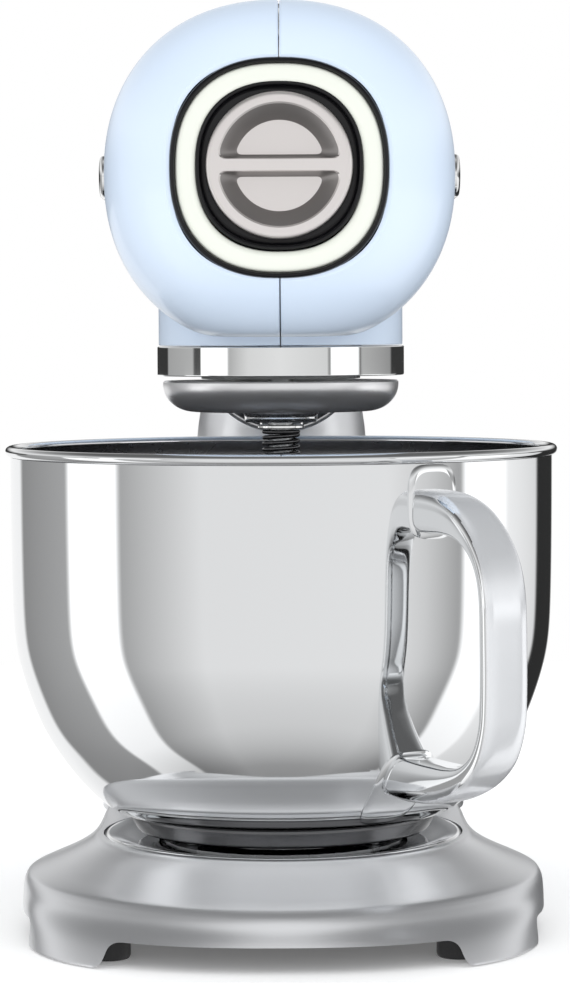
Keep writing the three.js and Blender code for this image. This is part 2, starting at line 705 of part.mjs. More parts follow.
const buttonAt = [0, 0, BUTTON_Z];
add(base, 'release_button', alongBack(rod(8.8, 202, 216.5)), F.chrome, buttonAt);
add(base, 'latch_slider', alongBack(rod(3, 183, 201.7, 16)), F.steel, buttonAt);
add(base, 'latch_spring', alongBack(tube(4, 6.5, 182, 200, 20)), F.steel, buttonAt);

const shells = headShells();
add(head, 'head_shell_left', shells.left, F.bluePaint);
add(head, 'head_shell_right', shells.right, F.bluePaint);
add(head, 'head_frame', headFrame(), F.aluminium);
add(head, 'hinge_knuckle', hingeKnuckle(), F.silverPaint);
add(head, 'hinge_bush_left', hingeBush(-1), F.brass);
add(head, 'hinge_bush_right', hingeBush(1), F.brass);
add(head, 'neck_band', tube(47.2, BAND_RADIUS, BAND_BOTTOM, BAND_TOP, 36), F.chrome);
add(head, 'ring_gear', ringGear(), F.steel);
add(head, 'lower_bearing', bearing(249, 256), F.steel);
add(head, 'upper_bearing', bearing(279, 286), F.steel);
add(head, 'motor_stator', alongBack(motorStator()), F.copper, [0, 0, DRIVE_Z]);
add(head, 'motor_rear_bracket', alongBack(rearBracket()), F.aluminium, [0, 0, DRIVE_Z]);
add(head, 'front_trim_ring', frontTrimRing(), F.chrome);
add(head, 'front_bezel', frontBezel(), F.blackPlastic);
add(head, 'accessory_hub_housing', hubHousing(), F.blackPlastic);
add(head, 'speed_scale_strip', scaleStrip(), F.chrome);
add(head, 'side_badge_left', sideBadge(-1), F.chrome);
add(head, 'side_badge_right', sideBadge(1), F.chrome);
add(head, 'control_board', block(-30, 30, 168, 171, 270, 330), F.greenBoard);
add(head, 'speed_lever', speedLever(), F.chrome);
add(head, 'hub_cover', hubCover(), F.satinNickel);

const apex = [0, 0, DRIVE_Z];
const planetAt = [0, -PLANET_OFFSET, 0];
add(head, 'centre_shaft', rod(SHAFT_RADIUS, 228.3, 301), F.steel);
add(head, 'crown_wheel', crownWheel(), F.steel, apex);
add(head, 'planet_carrier', planetCarrier(), F.aluminium);
add(head, 'planetary_cover', planetaryCover(), F.silverPaint);
add(head, 'planet_bearing', bearing(218.3, 224), F.steel, planetAt);
add(head, 'planet_pinion', planetPinion(), F.steel, planetAt);
add(head, 'tool_shaft', toolShaft(), F.steel);
add(head, 'tool_cross_pin', alongX(rod(1.5, -9, 9, 12)), F.steel, [0, -PLANET_OFFSET, SHAFT_END + 8]);
add(head, 'shaft_washer', tube(SHAFT_RADIUS + GAP, 9.4, 207.8, 209.4), F.steel, planetAt);
add(head, 'shaft_spring', tube(6.3, 7.8, 186, 207.4), F.steel, planetAt);
add(head, 'rotor_core', alongBack(rotorCore()), F.steel, apex);
add(head, 'motor_shaft', alongBack(rod(MOTOR_SHAFT_RADIUS, 26, 150)), F.steel, apex);
add(head, 'motor_pinion', alongFront(bevelPinion()), F.steel, apex);
add(head, 'cooling_fan', alongBack(motorFan()), F.blackPlastic, apex);
add(head, 'accessory_shaft', accessoryShaft(), F.steel);
add(head, 'accessory_bevel_gear', alongBack(bevelPinion()), F.steel, apex);

add(bowl, 'seat_washer', tube(20, 50, 38.9, 40.3, 24), F.steel);
add(bowl, 'bowl_shell', bowlShell(), F.polishedSteel);
add(bowl, 'bowl_foot', bowlFoot(), F.polishedSteel);
add(bowl, 'bowl_handle', bowlHandle(), F.polishedSteel);

// The part's origin is under the middle of its bounding box.
const bounds = new THREE.Box3().setFromObject(mixer);
mixer.position.y = -(bounds.min.y + bounds.max.y) / 2;

export default mixer;
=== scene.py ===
import math

import bmesh
import bpy
import numpy as np
from mathutils import Matrix, Vector


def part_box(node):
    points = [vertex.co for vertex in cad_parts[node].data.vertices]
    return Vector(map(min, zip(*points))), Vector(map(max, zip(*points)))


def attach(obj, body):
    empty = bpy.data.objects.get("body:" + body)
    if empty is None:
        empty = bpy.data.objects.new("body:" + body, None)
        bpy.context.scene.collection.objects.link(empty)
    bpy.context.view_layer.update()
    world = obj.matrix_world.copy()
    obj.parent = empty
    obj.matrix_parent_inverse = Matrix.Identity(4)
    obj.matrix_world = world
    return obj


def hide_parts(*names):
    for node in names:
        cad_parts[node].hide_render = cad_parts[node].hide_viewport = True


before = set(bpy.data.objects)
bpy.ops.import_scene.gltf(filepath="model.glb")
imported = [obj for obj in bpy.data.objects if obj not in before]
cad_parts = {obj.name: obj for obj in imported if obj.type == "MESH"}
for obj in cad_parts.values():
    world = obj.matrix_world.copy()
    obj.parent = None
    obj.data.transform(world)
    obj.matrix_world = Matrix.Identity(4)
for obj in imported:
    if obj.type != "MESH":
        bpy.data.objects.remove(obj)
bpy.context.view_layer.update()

bl_info = {
    "name": "Tilt-head stand mixer",
    "version": (1, 0, 0),
    "blender": (4, 5, 0),
    "location": "3D View > Sidebar > Mixer",
    "description": "Builds the painted, polished and cast pieces of a tilt-head stand mixer",
    "category": "Add Mesh",
}

MM = 0.001


def middle(node):
    """Middle of a CAD node's box, in metres."""
    low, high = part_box(node)
    return (low + high) / 2


AXIS_Y = middle("bowl_seat_dish").y  # the bowl's axis, x = 0
HINGE_Y = middle("hinge_pin").y
HINGE_Z = middle("hinge_pin").z
DRIVE_Z = middle("motor_shaft").z
HEAD_Z = middle("front_trim_ring").z
PLANET_Y = middle("shaft_washer").y
BOWL_AXIS = (0, AXIS_Y, 0)
HINGE = (0, HINGE_Y, HINGE_Z)


# ---------------------------------------------------------------- sizes and colours

def length(label, text, value):
    """A length property with its name, description and default in metres."""
    return bpy.props.FloatProperty(name=label, description=text, default=value, unit="LENGTH")


def colour(label, text, value):
    """A colour property with its name, description and linear default."""
    return bpy.props.FloatVectorProperty(
        name=label, description=text, default=value, size=3, subtype="COLOR", min=0, max=1)


class MixerSizes(bpy.types.PropertyGroup):
    """Sizes that shape the visible pieces."""

    seam_gap: length("Seam gap", "Gap between the two head shells", 0.0005)
    head_power: bpy.props.FloatProperty(
        name="Head fullness", description="Exponent of the head's section", default=2.2)
    shell_wall: length("Shell wall", "Thickness of the head shells", 0.003)
    bowl_wall: length("Bowl wall", "Thickness of the bowl's sheet", 0.0012)
    handle_width: length("Handle width", "Width of the strap handle", 0.0198)
    spring_wire: length("Spring wire", "Wire diameter of the shaft spring", 0.0017)
    spring_turns: bpy.props.IntProperty(
        name="Spring turns", description="Turns of the shaft spring", default=9)


class MixerColours(bpy.types.PropertyGroup):
    """Base colours of the finishes."""

    paint: colour("Paint", "Gloss paint of the head", (0.615, 0.715, 0.85))
    silver: colour("Silver", "Satin silver of the base and column", (0.83, 0.84, 0.86))
    dark_silver: colour("Dark silver", "Satin silver of the planetary cover", (0.88, 0.88, 0.89))
    nickel: colour("Nickel", "Satin nickel of the hub cover", (0.84, 0.80, 0.785))
    # painted reflection: the nose ring is chrome; this pale cream stands for the white studio it reflects
    nose_reflection_colour: colour("Enamel", "Pale enamel of the nose ring", (0.70, 0.715, 0.65))
    steel: colour("Steel", "Polished steel of the bowl", (0.83, 0.84, 0.85))
    chrome: colour("Chrome", "Chrome trims", (0.90, 0.91, 0.91))
    black: colour("Black", "Moulded black plastic and rubber", (0.012, 0.012, 0.013))


def sizes():
    """The mixer's sizes."""
    return bpy.context.scene.mixer_sizes


def colours():
    """The mixer's base colours."""
    return bpy.context.scene.mixer_colours


# ---------------------------------------------------------------- surfaces

def new_piece(name, points, faces, body, slot, replaced=(), sharp=35.0):
    """Mesh object from arrays of points and faces, with faces outwards, smooth apart from sharp edges."""
    mesh = bpy.data.meshes.new(name)
    mesh.from_pydata(np.asarray(points, float).reshape(-1, 3).tolist(), [], [list(f) for f in faces])
    obj = bpy.data.objects.new(name, mesh)
    bpy.context.scene.collection.objects.link(obj)
    clean(obj, sharp)
    if body:
        finish_piece(obj, body, replaced)
    return obj


def clean(obj, sharp=35.0):
    """Merges doubles, drops collapsed faces, turns faces outwards and sets smooth shading."""
    work = bmesh.new()
    work.from_mesh(obj.data)
    bmesh.ops.remove_doubles(work, verts=work.verts, dist=2e-6)
    bmesh.ops.dissolve_degenerate(work, edges=work.edges, dist=1e-7)
    bmesh.ops.recalc_face_normals(work, faces=work.faces)
    work.to_mesh(obj.data)
    work.free()
    obj.data.shade_smooth()
    obj.data.set_sharp_from_angle(angle=math.radians(sharp))


def finish_piece(obj, body, replaced=()):
    """The piece moves with a body and stands for CAD nodes, which it hides."""
    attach(obj, body)
    if replaced:
        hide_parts(*replaced)


def grid_faces(rows, columns, wrap_rows=False, wrap_columns=False):
    """Quads between neighbouring rows and columns of a grid, numbered row by row."""
    r = np.arange(rows if wrap_rows else rows - 1)[:, None]
    c = np.arange(columns if wrap_columns else columns - 1)[None, :]
    below, beside = (r + 1) % rows, (c + 1) % columns
    corners = [r * columns + c, r * columns + beside, below * columns + beside, below * columns + c]
    return np.stack(np.broadcast_arrays(*corners), -1).reshape(-1, 4)


def grid_piece(name, points, *args, wrap_rows=False, wrap_columns=False, caps=False, **kwargs):
    """Piece from a grid of points (rows, columns, 3). Caps close the first and last rows."""
    rows, columns = points.shape[:2]
    faces = grid_faces(rows, columns, wrap_rows, wrap_columns).tolist()
    if caps:
        faces += [list(range(columns)), list(range((rows - 1) * columns, rows * columns))[::-1]]
    return new_piece(name, points, faces, *args, **kwargs)


def walled_piece(name, outer, inner, *args, **kwargs):
    """Closed sheet between two equal grids: both surfaces, joined along their four borders."""
    rows, columns = outer.shape[:2]
    offset = rows * columns
    grid = grid_faces(rows, columns)
    number = np.arange(offset).reshape(rows, columns)
    border = np.concatenate([number[0], number[1:, -1], number[-1, -2::-1], number[-2::-1, 0]])
    strip = np.stack([border[:-1], border[1:], border[1:] + offset, border[:-1] + offset], -1)
    faces = np.concatenate([grid, grid[:, ::-1] + offset, strip])
    return new_piece(name, np.stack([outer, inner]), faces.tolist(), *args, **kwargs)


def turned_piece(name, profile, *args, centre=(0, 0, 0), axis="Z", closed=True, segments=128, **kwargs):
    """Body of revolution: profile (radius, height) swept round an axis through centre.
    Axis Z points up and axis F points forwards, to -Y."""
    profile = np.asarray(profile, float)
    turn = np.linspace(0, 2 * np.pi, segments, endpoint=False)
    radius, height = profile[:, :1], np.repeat(profile[:, 1:], segments, 1)
    across, along = radius * np.cos(turn), radius * np.sin(turn)
    if axis == "Z":
        points = np.stack([across, along, height], -1)
    else:
        points = np.stack([across, -height, along], -1)
    return grid_piece(name, points + np.asarray(centre), *args, wrap_rows=closed, wrap_columns=True, **kwargs)


def rounded(corners, radius, steps=5, closed=True):
    """Outline whose corners become quadratic curves, (1-s)^2 A + 2s(1-s) P + s^2 B, from a distance radius
    before each corner to the same distance after it. A guard point before and after each curve keeps the
    flats between them flat when shaded."""
    corner = np.asarray(corners, float)
    back, ahead = np.roll(corner, 1, 0) - corner, np.roll(corner, -1, 0) - corner
    reach = np.broadcast_to(np.asarray(radius, float), len(corner)).copy()
    if not closed:
        reach[[0, -1]] = 0

    def start(side, factor=1.0):
        """Points along each side, where its corner's curve ends."""
        length = np.maximum(np.linalg.norm(side, axis=1), 1e-12)
        return corner + side * (np.minimum(reach, 0.42 * length) * factor / length)[:, None]

    s = np.linspace(0, 1, steps)[:, None, None]
    curve = (1 - s) ** 2 * start(back) + 2 * s * (1 - s) * corner + s ** 2 * start(ahead)
    curve = np.concatenate([start(back, 1.15)[None], curve, start(ahead, 1.15)[None]])
    return curve.transpose(1, 0, 2).reshape(-1, 2)


def rounded_mm(corners, radius, steps=5, closed=True):
    """rounded(), with corners and radius in millimetres."""
    return rounded(np.array(corners) * MM, np.array(radius) * MM, steps, closed)


def rectangle(left, right, bottom, top):
    """Four corners, counter-clockwise from the lower left."""
    return [(left, bottom), (right, bottom), (right, top), (left, top)]


def circle(radius, centre, count=160):
    """Closed circle about a centre, (count, 2)."""
    turn = np.linspace(0, 2 * np.pi, count, endpoint=False)
    return radius * np.stack([np.cos(turn), np.sin(turn)], -1) + np.array(centre)


def smooth_path(knots, steps=10):
    """Catmull-Rom curve through the knots, with mirrored end knots."""
    k = np.asarray(knots, float)
    k = np.concatenate([[2 * k[0] - k[1]], k, [2 * k[-1] - k[-2]]])
    t = np.linspace(0, 1, steps, endpoint=False)[None, :, None]
    a, b, c, d = (k[i:len(k) - 3 + i][:, None] for i in range(4))
    square, cube = 2 * a - 5 * b + 4 * c - d, 3 * b - a - 3 * c + d
    curve = 0.5 * (2 * b + (c - a) * t + square * t ** 2 + cube * t ** 3)
    return np.concatenate([curve.reshape(-1, k.shape[1]), k[-2:-1]])


def power(value, exponent):
    """sign(t) |t|^(2 / exponent): one coordinate of a superellipse."""
    return np.sign(value) * np.abs(value) ** (2 / exponent)


def squircle(half, exponent):
    """Closed superellipse outline of a half size, (160, 2)."""
    turn = np.linspace(0, 2 * np.pi, 160, endpoint=False)
    return half * np.stack([power(np.cos(turn), exponent), power(np.sin(turn), exponent)], -1)


def block(low, high):
    """Plain box mesh for cutting, from two corners."""
    low, high = np.asarray(low, float), np.asarray(high, float)
    pick = np.array([[0, 0, 0], [1, 0, 0], [1, 1, 0], [0, 1, 0], [0, 0, 1], [1, 0, 1], [1, 1, 1], [0, 1, 1]])
    faces = [[0, 3, 2, 1], [4, 5, 6, 7], [0, 1, 5, 4], [1, 2, 6, 5], [2, 3, 7, 6], [3, 0, 4, 7]]
    return new_piece("cutter", low + pick * (high - low), faces, None, None)


def prism(outline, start, end, axis):
    """Solid from a closed outline (n, 2) carried from start to end along X, Y or Z, for cutting."""
    outline = np.asarray(outline, float)
    along = np.repeat([start, end], len(outline))
    first, second = np.tile(outline, (2, 1)).T
    order = {"X": (along, first, second), "Y": (first, along, second), "Z": (first, second, along)}[axis]
    points = np.stack(order, -1).reshape(2, len(outline), 3)
    return grid_piece("cutter", points, None, None, wrap_columns=True, caps=True)


def turned_tool(profile, centre, segments=128):
    """Unfinished body turned about a vertical axis, for cutting or joining. The profile is in metres."""
    return turned_piece("cutter", profile, None, None, centre=centre, closed=False, segments=segments)


def combine(obj, tool, operation="DIFFERENCE"):
    """Cuts obj with tool, or joins it on, then removes tool."""
    modifier = obj.modifiers.new("combine", "BOOLEAN")
    modifier.operation = operation
    modifier.solver = "MANIFOLD"
    modifier.object = tool
    dg = bpy.context.evaluated_depsgraph_get()
    result = bpy.data.meshes.new_from_object(obj.evaluated_get(dg))
    obj.modifiers.clear()
    old, obj.data = obj.data, result
    bpy.data.meshes.remove(old)
    bpy.data.objects.remove(tool)
    return obj


# ---------------------------------------------------------------- finishes

def new_group(name, inputs, outputs):
    """Shader node group with its sockets, each (type, name, default)."""
    group = bpy.data.node_groups.new(name, "ShaderNodeTree")
    for kind, label, value in inputs:
        socket = group.interface.new_socket(label, in_out="INPUT", socket_type=kind)
        if value is not None:
            socket.default_value = value
    for kind, label in outputs:
        group.interface.new_socket(label, in_out="OUTPUT", socket_type=kind)
    return group, group.nodes.new("NodeGroupInput"), group.nodes.new("NodeGroupOutput")


def add_node(tree, kind, inputs, **settings):
    """Shader node with its settings. Each input is a value, or the output that feeds it."""
    node = tree.nodes.new("ShaderNode" + kind)
    for key, value in settings.items():
        setattr(node, key, value)
    for key, value in inputs.items():
        if isinstance(value, bpy.types.NodeSocket):
            tree.links.new(value, node.inputs[key])
        else:
            node.inputs[key].default_value = value
    return node


def surface_variation():
    """Group: slow noise moves the colour and the roughness a little."""
    group, source, sink = new_group(
        "surface_variation",
        [("NodeSocketVector", "Coordinates", None), ("NodeSocketColor", "Color", (1, 1, 1, 1)),
         ("NodeSocketFloat", "Scale", 20.0), ("NodeSocketFloat", "Color Amount", 0.05),
         ("NodeSocketFloat", "Roughness", 0.3), ("NodeSocketFloat", "Roughness Amount", 0.05)],
        [("NodeSocketColor", "Color"), ("NodeSocketFloat", "Roughness")])
    given = source.outputs
    places = given["Coordinates"]
    noise = add_node(group, "TexNoise", {"Detail": 4, "Vector": places, "Scale": given["Scale"]})
    centred = add_node(group, "Math", {0: noise.outputs["Fac"], 1: 0.5}, operation="SUBTRACT").outputs[0]
    gain = add_node(group, "Math", {0: centred, 1: given["Color Amount"], 2: 1.0}, operation="MULTIPLY_ADD")
    tint = add_node(group, "VectorMath", {0: given["Color"], "Scale": gain.outputs[0]}, operation="SCALE")
    rough = add_node(group, "Math", {0: centred, 1: given["Roughness Amount"], 2: given["Roughness"]},
                     operation="MULTIPLY_ADD")
    group.links.new(tint.outputs[0], sink.inputs["Color"])
    group.links.new(rough.outputs[0], sink.inputs["Roughness"])


def fine_relief():
    """Group: stretched noise as a normal: orange peel, metallic flake or brushed lines."""
    group, source, sink = new_group(
        "fine_relief",
        [("NodeSocketVector", "Coordinates", None), ("NodeSocketVector", "Stretch", (1, 1, 1)),
         ("NodeSocketFloat", "Scale", 200.0), ("NodeSocketFloat", "Strength", 0.1),
         ("NodeSocketFloat", "Distance", 0.0002)],
        [("NodeSocketVector", "Normal")])
    given = source.outputs
    places, factors = given["Coordinates"], given["Stretch"]
    stretch = add_node(group, "VectorMath", {0: places, 1: factors}, operation="MULTIPLY")
    noise = add_node(group, "TexNoise", {"Detail": 3, "Vector": stretch.outputs[0], "Scale": given["Scale"]})
    bump = add_node(group, "Bump", {
        "Strength": given["Strength"], "Distance": given["Distance"], "Height": noise.outputs["Fac"]})
    group.links.new(bump.outputs[0], sink.inputs["Normal"])


FINISH_SLOTS = {}


def finish(name, color, metallic, roughness, variation, relief=None, coat=(0, 0.03), specular=0.5):
    """Principled material. variation is (scale, colour amount, roughness amount) and relief is
    (stretch, scale, strength, distance); coat is (weight, roughness)."""
    material = bpy.data.materials.new(name)
    material.use_nodes = True
    tree = material.node_tree
    shader = tree.nodes["Principled BSDF"]
    place = add_node(tree, "TexCoord", {}).outputs["Object"]
    vary = add_node(tree, "Group", {}, node_tree=bpy.data.node_groups["surface_variation"])
    tree.links.new(place, vary.inputs["Coordinates"])
    amounts = {"Color": (*color, 1), "Scale": variation[0], "Color Amount": variation[1],
               "Roughness": roughness, "Roughness Amount": variation[2]}
    for socket, value in amounts.items():
        vary.inputs[socket].default_value = value
    tree.links.new(vary.outputs["Color"], shader.inputs["Base Color"])
    tree.links.new(vary.outputs["Roughness"], shader.inputs["Roughness"])
    constants = {"Metallic": metallic, "Specular IOR Level": specular, "Coat Weight": coat[0],
                 "Coat Roughness": coat[1]}
    for socket, value in constants.items():
        shader.inputs[socket].default_value = value
    if relief:
        bumps = add_node(tree, "Group", {}, node_tree=bpy.data.node_groups["fine_relief"])
        tree.links.new(place, bumps.inputs["Coordinates"])
        for socket, value in zip(("Stretch", "Scale", "Strength", "Distance"), relief):
            bumps.inputs[socket].default_value = value
        tree.links.new(bumps.outputs["Normal"], shader.inputs["Normal"])
    FINISH_SLOTS[name] = material


def make_finishes():
    """All the mixer's finishes, by name."""
    tint = colours()
    surface_variation()
    fine_relief()
    even = (1, 1, 1)
    finish("head_paint", tint.paint, 0, 0.36, (9, 0.02, 0.03), (even, 350, 0.04, 0.0001), (0.35, 0.06))
    finish("silver_paint", tint.silver, 0.92, 0.33, (30, 0.03, 0.04), (even, 2600, 0.12, 0.0001), (0.3, 0.2))
    finish("dark_silver", tint.dark_silver, 0.9, 0.3, (40, 0.04, 0.05), (even, 2600, 0.1, 0.0001))
    finish("satin_nickel", tint.nickel, 0.9, 0.36, (40, 0.04, 0.05), (even, 3500, 0.2, 0.0001))
    # painted reflection: a half-diffuse pale steel for the outer face of the handle strap, standing for the
    # white it reflects
    finish("steel_painted_reflection", (0.72, 0.73, 0.75), 0.5, 0.16, (12, 0.01, 0.02))
    # painted shade: a darker copy of the nickel for the hub cover's pocket walls, where shade falls
    shade = tuple(0.42 * part for part in tint.nickel)
    finish("nickel_painted_shade", shade, 0.9, 0.34, (40, 0.04, 0.05), (even, 3500, 0.2, 0.0001))
    # painted reflection: pale cream for the chrome nose ring, in place of the white it reflects
    finish("nose_ring_painted_reflection", tint.nose_reflection_colour, 0, 0.3, (12, 0.01, 0.02), None, (0.5, 0.05))
    finish("gloss_black", (0.004, 0.004, 0.005), 0, 0.12, (12, 0.1, 0.02), None, (0.1, 0.05), 0.3)
    finish("polished_steel", tint.steel, 1, 0.05, (14, 0.015, 0.02))
    finish("brushed_inside", (0.42, 0.42, 0.43), 1, 0.27, (40, 0.05, 0.08), ((1, 1, 60), 60, 0.15, 0.0002))
    finish("chrome", tint.chrome, 1, 0.035, (12, 0.01, 0.015))
    finish("machined_steel", (0.45, 0.46, 0.47), 1, 0.28, (60, 0.08, 0.1), ((1, 1, 12), 400, 0.1, 0.0001))
    # dark steel for the shaft spring; on the polished bowl foot it is painted shade beneath the bowl
    finish("dark_steel_and_painted_shade", (0.16, 0.16, 0.165), 1, 0.2, (60, 0.1, 0.1))
    finish("cast_aluminium", (0.55, 0.56, 0.57), 0.9, 0.45, (50, 0.08, 0.08), (even, 900, 0.3, 0.0003))
    finish("sintered_bronze", (0.48, 0.33, 0.14), 1, 0.4, (90, 0.1, 0.1))
    finish("copper_winding", (0.50, 0.2, 0.09), 0.9, 0.35, (70, 0.15, 0.1), ((1, 1, 30), 300, 0.5, 0.0005))
    finish("moulded_black", tint.black, 0, 0.3, (60, 0.1, 0.08), (even, 1500, 0.12, 0.0001))
    finish("foot_rubber", tint.black, 0, 0.6, (60, 0.1, 0.08), (even, 900, 0.3, 0.0003))
    finish("board_green", (0.03, 0.13, 0.05), 0, 0.45, (90, 0.2, 0.1))


def paint(obj, *names):
    """Gives the piece its finishes, in slot order."""
    obj.data.materials.clear()
    for name in names:
        obj.data.materials.append(FINISH_SLOTS[name])
    return obj


def complete(obj, angle, body, slot, nodes, *names):
    """Cleans a combined piece, paints it and hands it to the frame."""
    clean(obj, angle)
    paint(obj, *names)
    finish_piece(obj, body, nodes)


def face_arrays(obj):
    """Centres and normals of a piece's faces, each (n, 3)."""
    arrays = []
    for key in ("center", "normal"):
        values = np.zeros(len(obj.data.polygons) * 3)
        obj.data.polygons.foreach_get(key, values)
        arrays.append(values.reshape(-1, 3))
    return arrays


def second_finish(obj, chosen):
    """Gives the chosen faces the piece's second finish."""
    obj.data.polygons.foreach_set("material_index", chosen.astype(np.int32))


# ---------------------------------------------------------------- base and column

BASE_CAP = 150 * MM
BASE_CAP_DEPTH = 65 * MM
ARCH_TOP = 10.6 * MM
ARCH_FLARE = 8.5 * MM
SEAT_RADIUS = 75.0
BASE_STATIONS = np.array([
    # z, half width, front, fullness of the front's curve, half width at the rear
    (0.8, 107.2, 111.6, 2.85, 83.7), (1.6, 107.5, 112, 2.8, 84), (10, 108.2, 110.6, 2.45, 84.5),
    (16, 108.4, 109, 2.15, 84.5), (20, 108.1, 108.3, 2.03, 84.2), (22.5, 107.2, 107.3, 2, 83.6),
    (24.3, 105.7, 105.7, 2, 82.6), (26, 101.9, 101.9, 2, 81.3), (28, 96.8, 96.8, 2, 80),
    (31, 90.1, 90.1, 2, 78.8), (34, 84.4, 84.4, 2, 78), (36.5, 80.7, 80.7, 2, 77.4),
    (38.3, 78.6, 78.6, 2, 77), (38.9, 77.3, 77.3, 2, 76.6), (39, 75.6, 75.6, 2, 75.2)])
HOLLOW_STATIONS = np.array([
    (-1, 107.5, 112, 2.8, 84), (16, 108.4, 109, 2.15, 84.5), (23, 104, 104, 2, 82), (32.5, 78, 78, 2, 76)])
BASE_WALL = 5


def base_ring(z, half, front, fullness, rear, inset=0.0):
    """Plan of the base at one height: a superelliptic front, sides that fall to the rear's half width as
    exp(-y^2 / reach), and a superelliptic cap of exponent 3."""
    half, front, rear = half - inset, front - inset, rear - inset
    cap = BASE_CAP_DEPTH / MM - inset - 1.2 * (84.5 - rear - inset)
    reach = 1.5 * half * (half - rear)
    turn = np.linspace(-np.pi, 0, 72)
    nose = np.stack([half * power(np.cos(turn), fullness), front * power(np.sin(turn), fullness)], -1)
    y = np.linspace(0, BASE_CAP / MM, 40)[1:-1]
    right = np.stack([rear + (half - rear) * np.exp(-y ** 2 / reach), y], -1)
    turn = np.linspace(0, np.pi, 48)
    end = rear + (half - rear) * np.exp(-(BASE_CAP / MM) ** 2 / reach)
    tail = np.stack([end * power(np.cos(turn), 3), BASE_CAP / MM + cap * power(np.sin(turn), 3)], -1)
    plan = np.concatenate([nose, right, tail, right[::-1] * (-1, 1)]) * MM
    return np.column_stack([plan[:, 0], plan[:, 1] + AXIS_Y, np.full(len(plan), z * MM)])


def base_rings(stations, inset=0.0):
    """Stack of base plans for an array of stations."""
    return np.stack([base_ring(*station, inset) for station in stations])


def arch_outline(start, end):
    """Outline of the gap between two legs, from start to end: flat top, S-curved ends."""
    flare = ARCH_FLARE
    corners = [
        (start, -5 * MM), (end, -5 * MM), (end, 0.3 * MM), (end - flare * 0.55, 1.5 * MM),
        (end - flare, ARCH_TOP), (start + flare, ARCH_TOP),
        (start + flare * 0.55, 1.5 * MM), (start, 0.3 * MM)]
    return rounded(corners, np.array([0, 0, 1, 4, 5, 5, 4, 1]) * MM, steps=8)


class MIXER_OT_base(bpy.types.Operator):
    """Cast base with its legs, rubber feet and polished bowl seat"""

    bl_idname = "mixer.base"
    bl_label = "Base"

    def execute(self, context):
        stations = smooth_path(BASE_STATIONS, 4)
        base = grid_piece("base_casting_fine", base_rings(stations), None, None, wrap_columns=True, caps=True)
        hollow = base_rings(HOLLOW_STATIONS, BASE_WALL)
        combine(base, grid_piece("cutter", hollow, None, None, wrap_columns=True, caps=True))
        combine(base, prism(arch_outline(-76 * MM, 76 * MM), AXIS_Y - 0.15, AXIS_Y, "Y"))
        combine(base, prism(arch_outline(-52 * MM, 52 * MM), AXIS_Y + 0.1, AXIS_Y + 0.26, "Y"))
        combine(base, prism(arch_outline(AXIS_Y - 57 * MM, AXIS_Y + 150 * MM), -0.15, 0.15, "X"))
        seat = np.array(rectangle(0, SEAT_RADIUS, 30, 45)) * MM
        combine(base, turned_tool(seat, BOWL_AXIS))
        complete(base, 32, "base", "silver_paint", ["base_casting"], "silver_paint")

        rings = [(0, 36.3), (74.6, 36.3), (74.6, 38.6), (73.4, 39.4), (71.4, 38.9), (66, 37.7), (0, 37.5)]
        profile = rounded_mm(rings, [0, 0.2, 0.6, 0.8, 1.2, 3, 0], closed=False)
        dish = turned_piece("bowl_seat_polished", profile, "base", "polished_steel", ["bowl_seat_dish"],
                            centre=BOWL_AXIS, closed=False)
        paint(dish, "polished_steel")
        for end in ("front", "rear"):
            for hand in ("left", "right"):
                self.foot(f"foot_{end}_{hand}")
        return {"FINISHED"}

    def foot(self, node):
        """Rubber foot: a rounded disc on a narrower stem."""
        low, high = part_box(node)
        corners = [(0, 0), (8.4, 0), (9.0, 1.4), (9.0, 9.4), (4.5, 9.6), (4.5, 15.7), (0, 15.7)]
        profile = rounded_mm(corners, [0, 0.8, 0.8, 0.8, 0.4, 0.2, 0], closed=False)
        where = ((low.x + high.x) / 2, (low.y + high.y) / 2, low.z)
        foot = turned_piece(node + "_rubber", profile, "base", "rubber", [node],
                            centre=where, closed=False, segments=48)
        paint(foot, "foot_rubber")


SADDLE_RADIUS = 38.2 * MM
BUTTON_BORE = 9.4 * MM
INLET_BORE = 7.3 * MM
LATCH_ROOM_Y = AXIS_Y + 171.9 * MM
BEHIND = AXIS_Y + 240 * MM  # past the column's back


def column_rings(count=128):
    """Stack of superelliptic sections that flare from the saddle down into the base."""
    knots = np.array([
        # half width, front, back, z
        (83.4, 78, 213, 30), (83.2, 78, 213, 41), (81.0, 80, 213, 50), (73.5, 87, 212.6, 62),
        (62.5, 98, 212, 78), (53.2, 108, 212, 99), (46.5, 114.5, 212.5, 128), (42, 118, 213, 165),
        (39.4, 118, 213, 198), (38.2, 118.3, 212, 208), (36.9, 119.2, 209.5, 215), (35.0, 121, 206, 219)]) * MM
    half, front, back, height = (v[:, None] for v in smooth_path(knots, 6).T)
    turn = np.linspace(0, 2 * np.pi, count, endpoint=False)[None, :]
    x = half * power(np.cos(turn), 2.7)
    y = (front + back) / 2 + (back - front) / 2 * power(np.sin(turn), 2.7) + AXIS_Y
    return np.stack([x, y, height + 0 * x], -1)


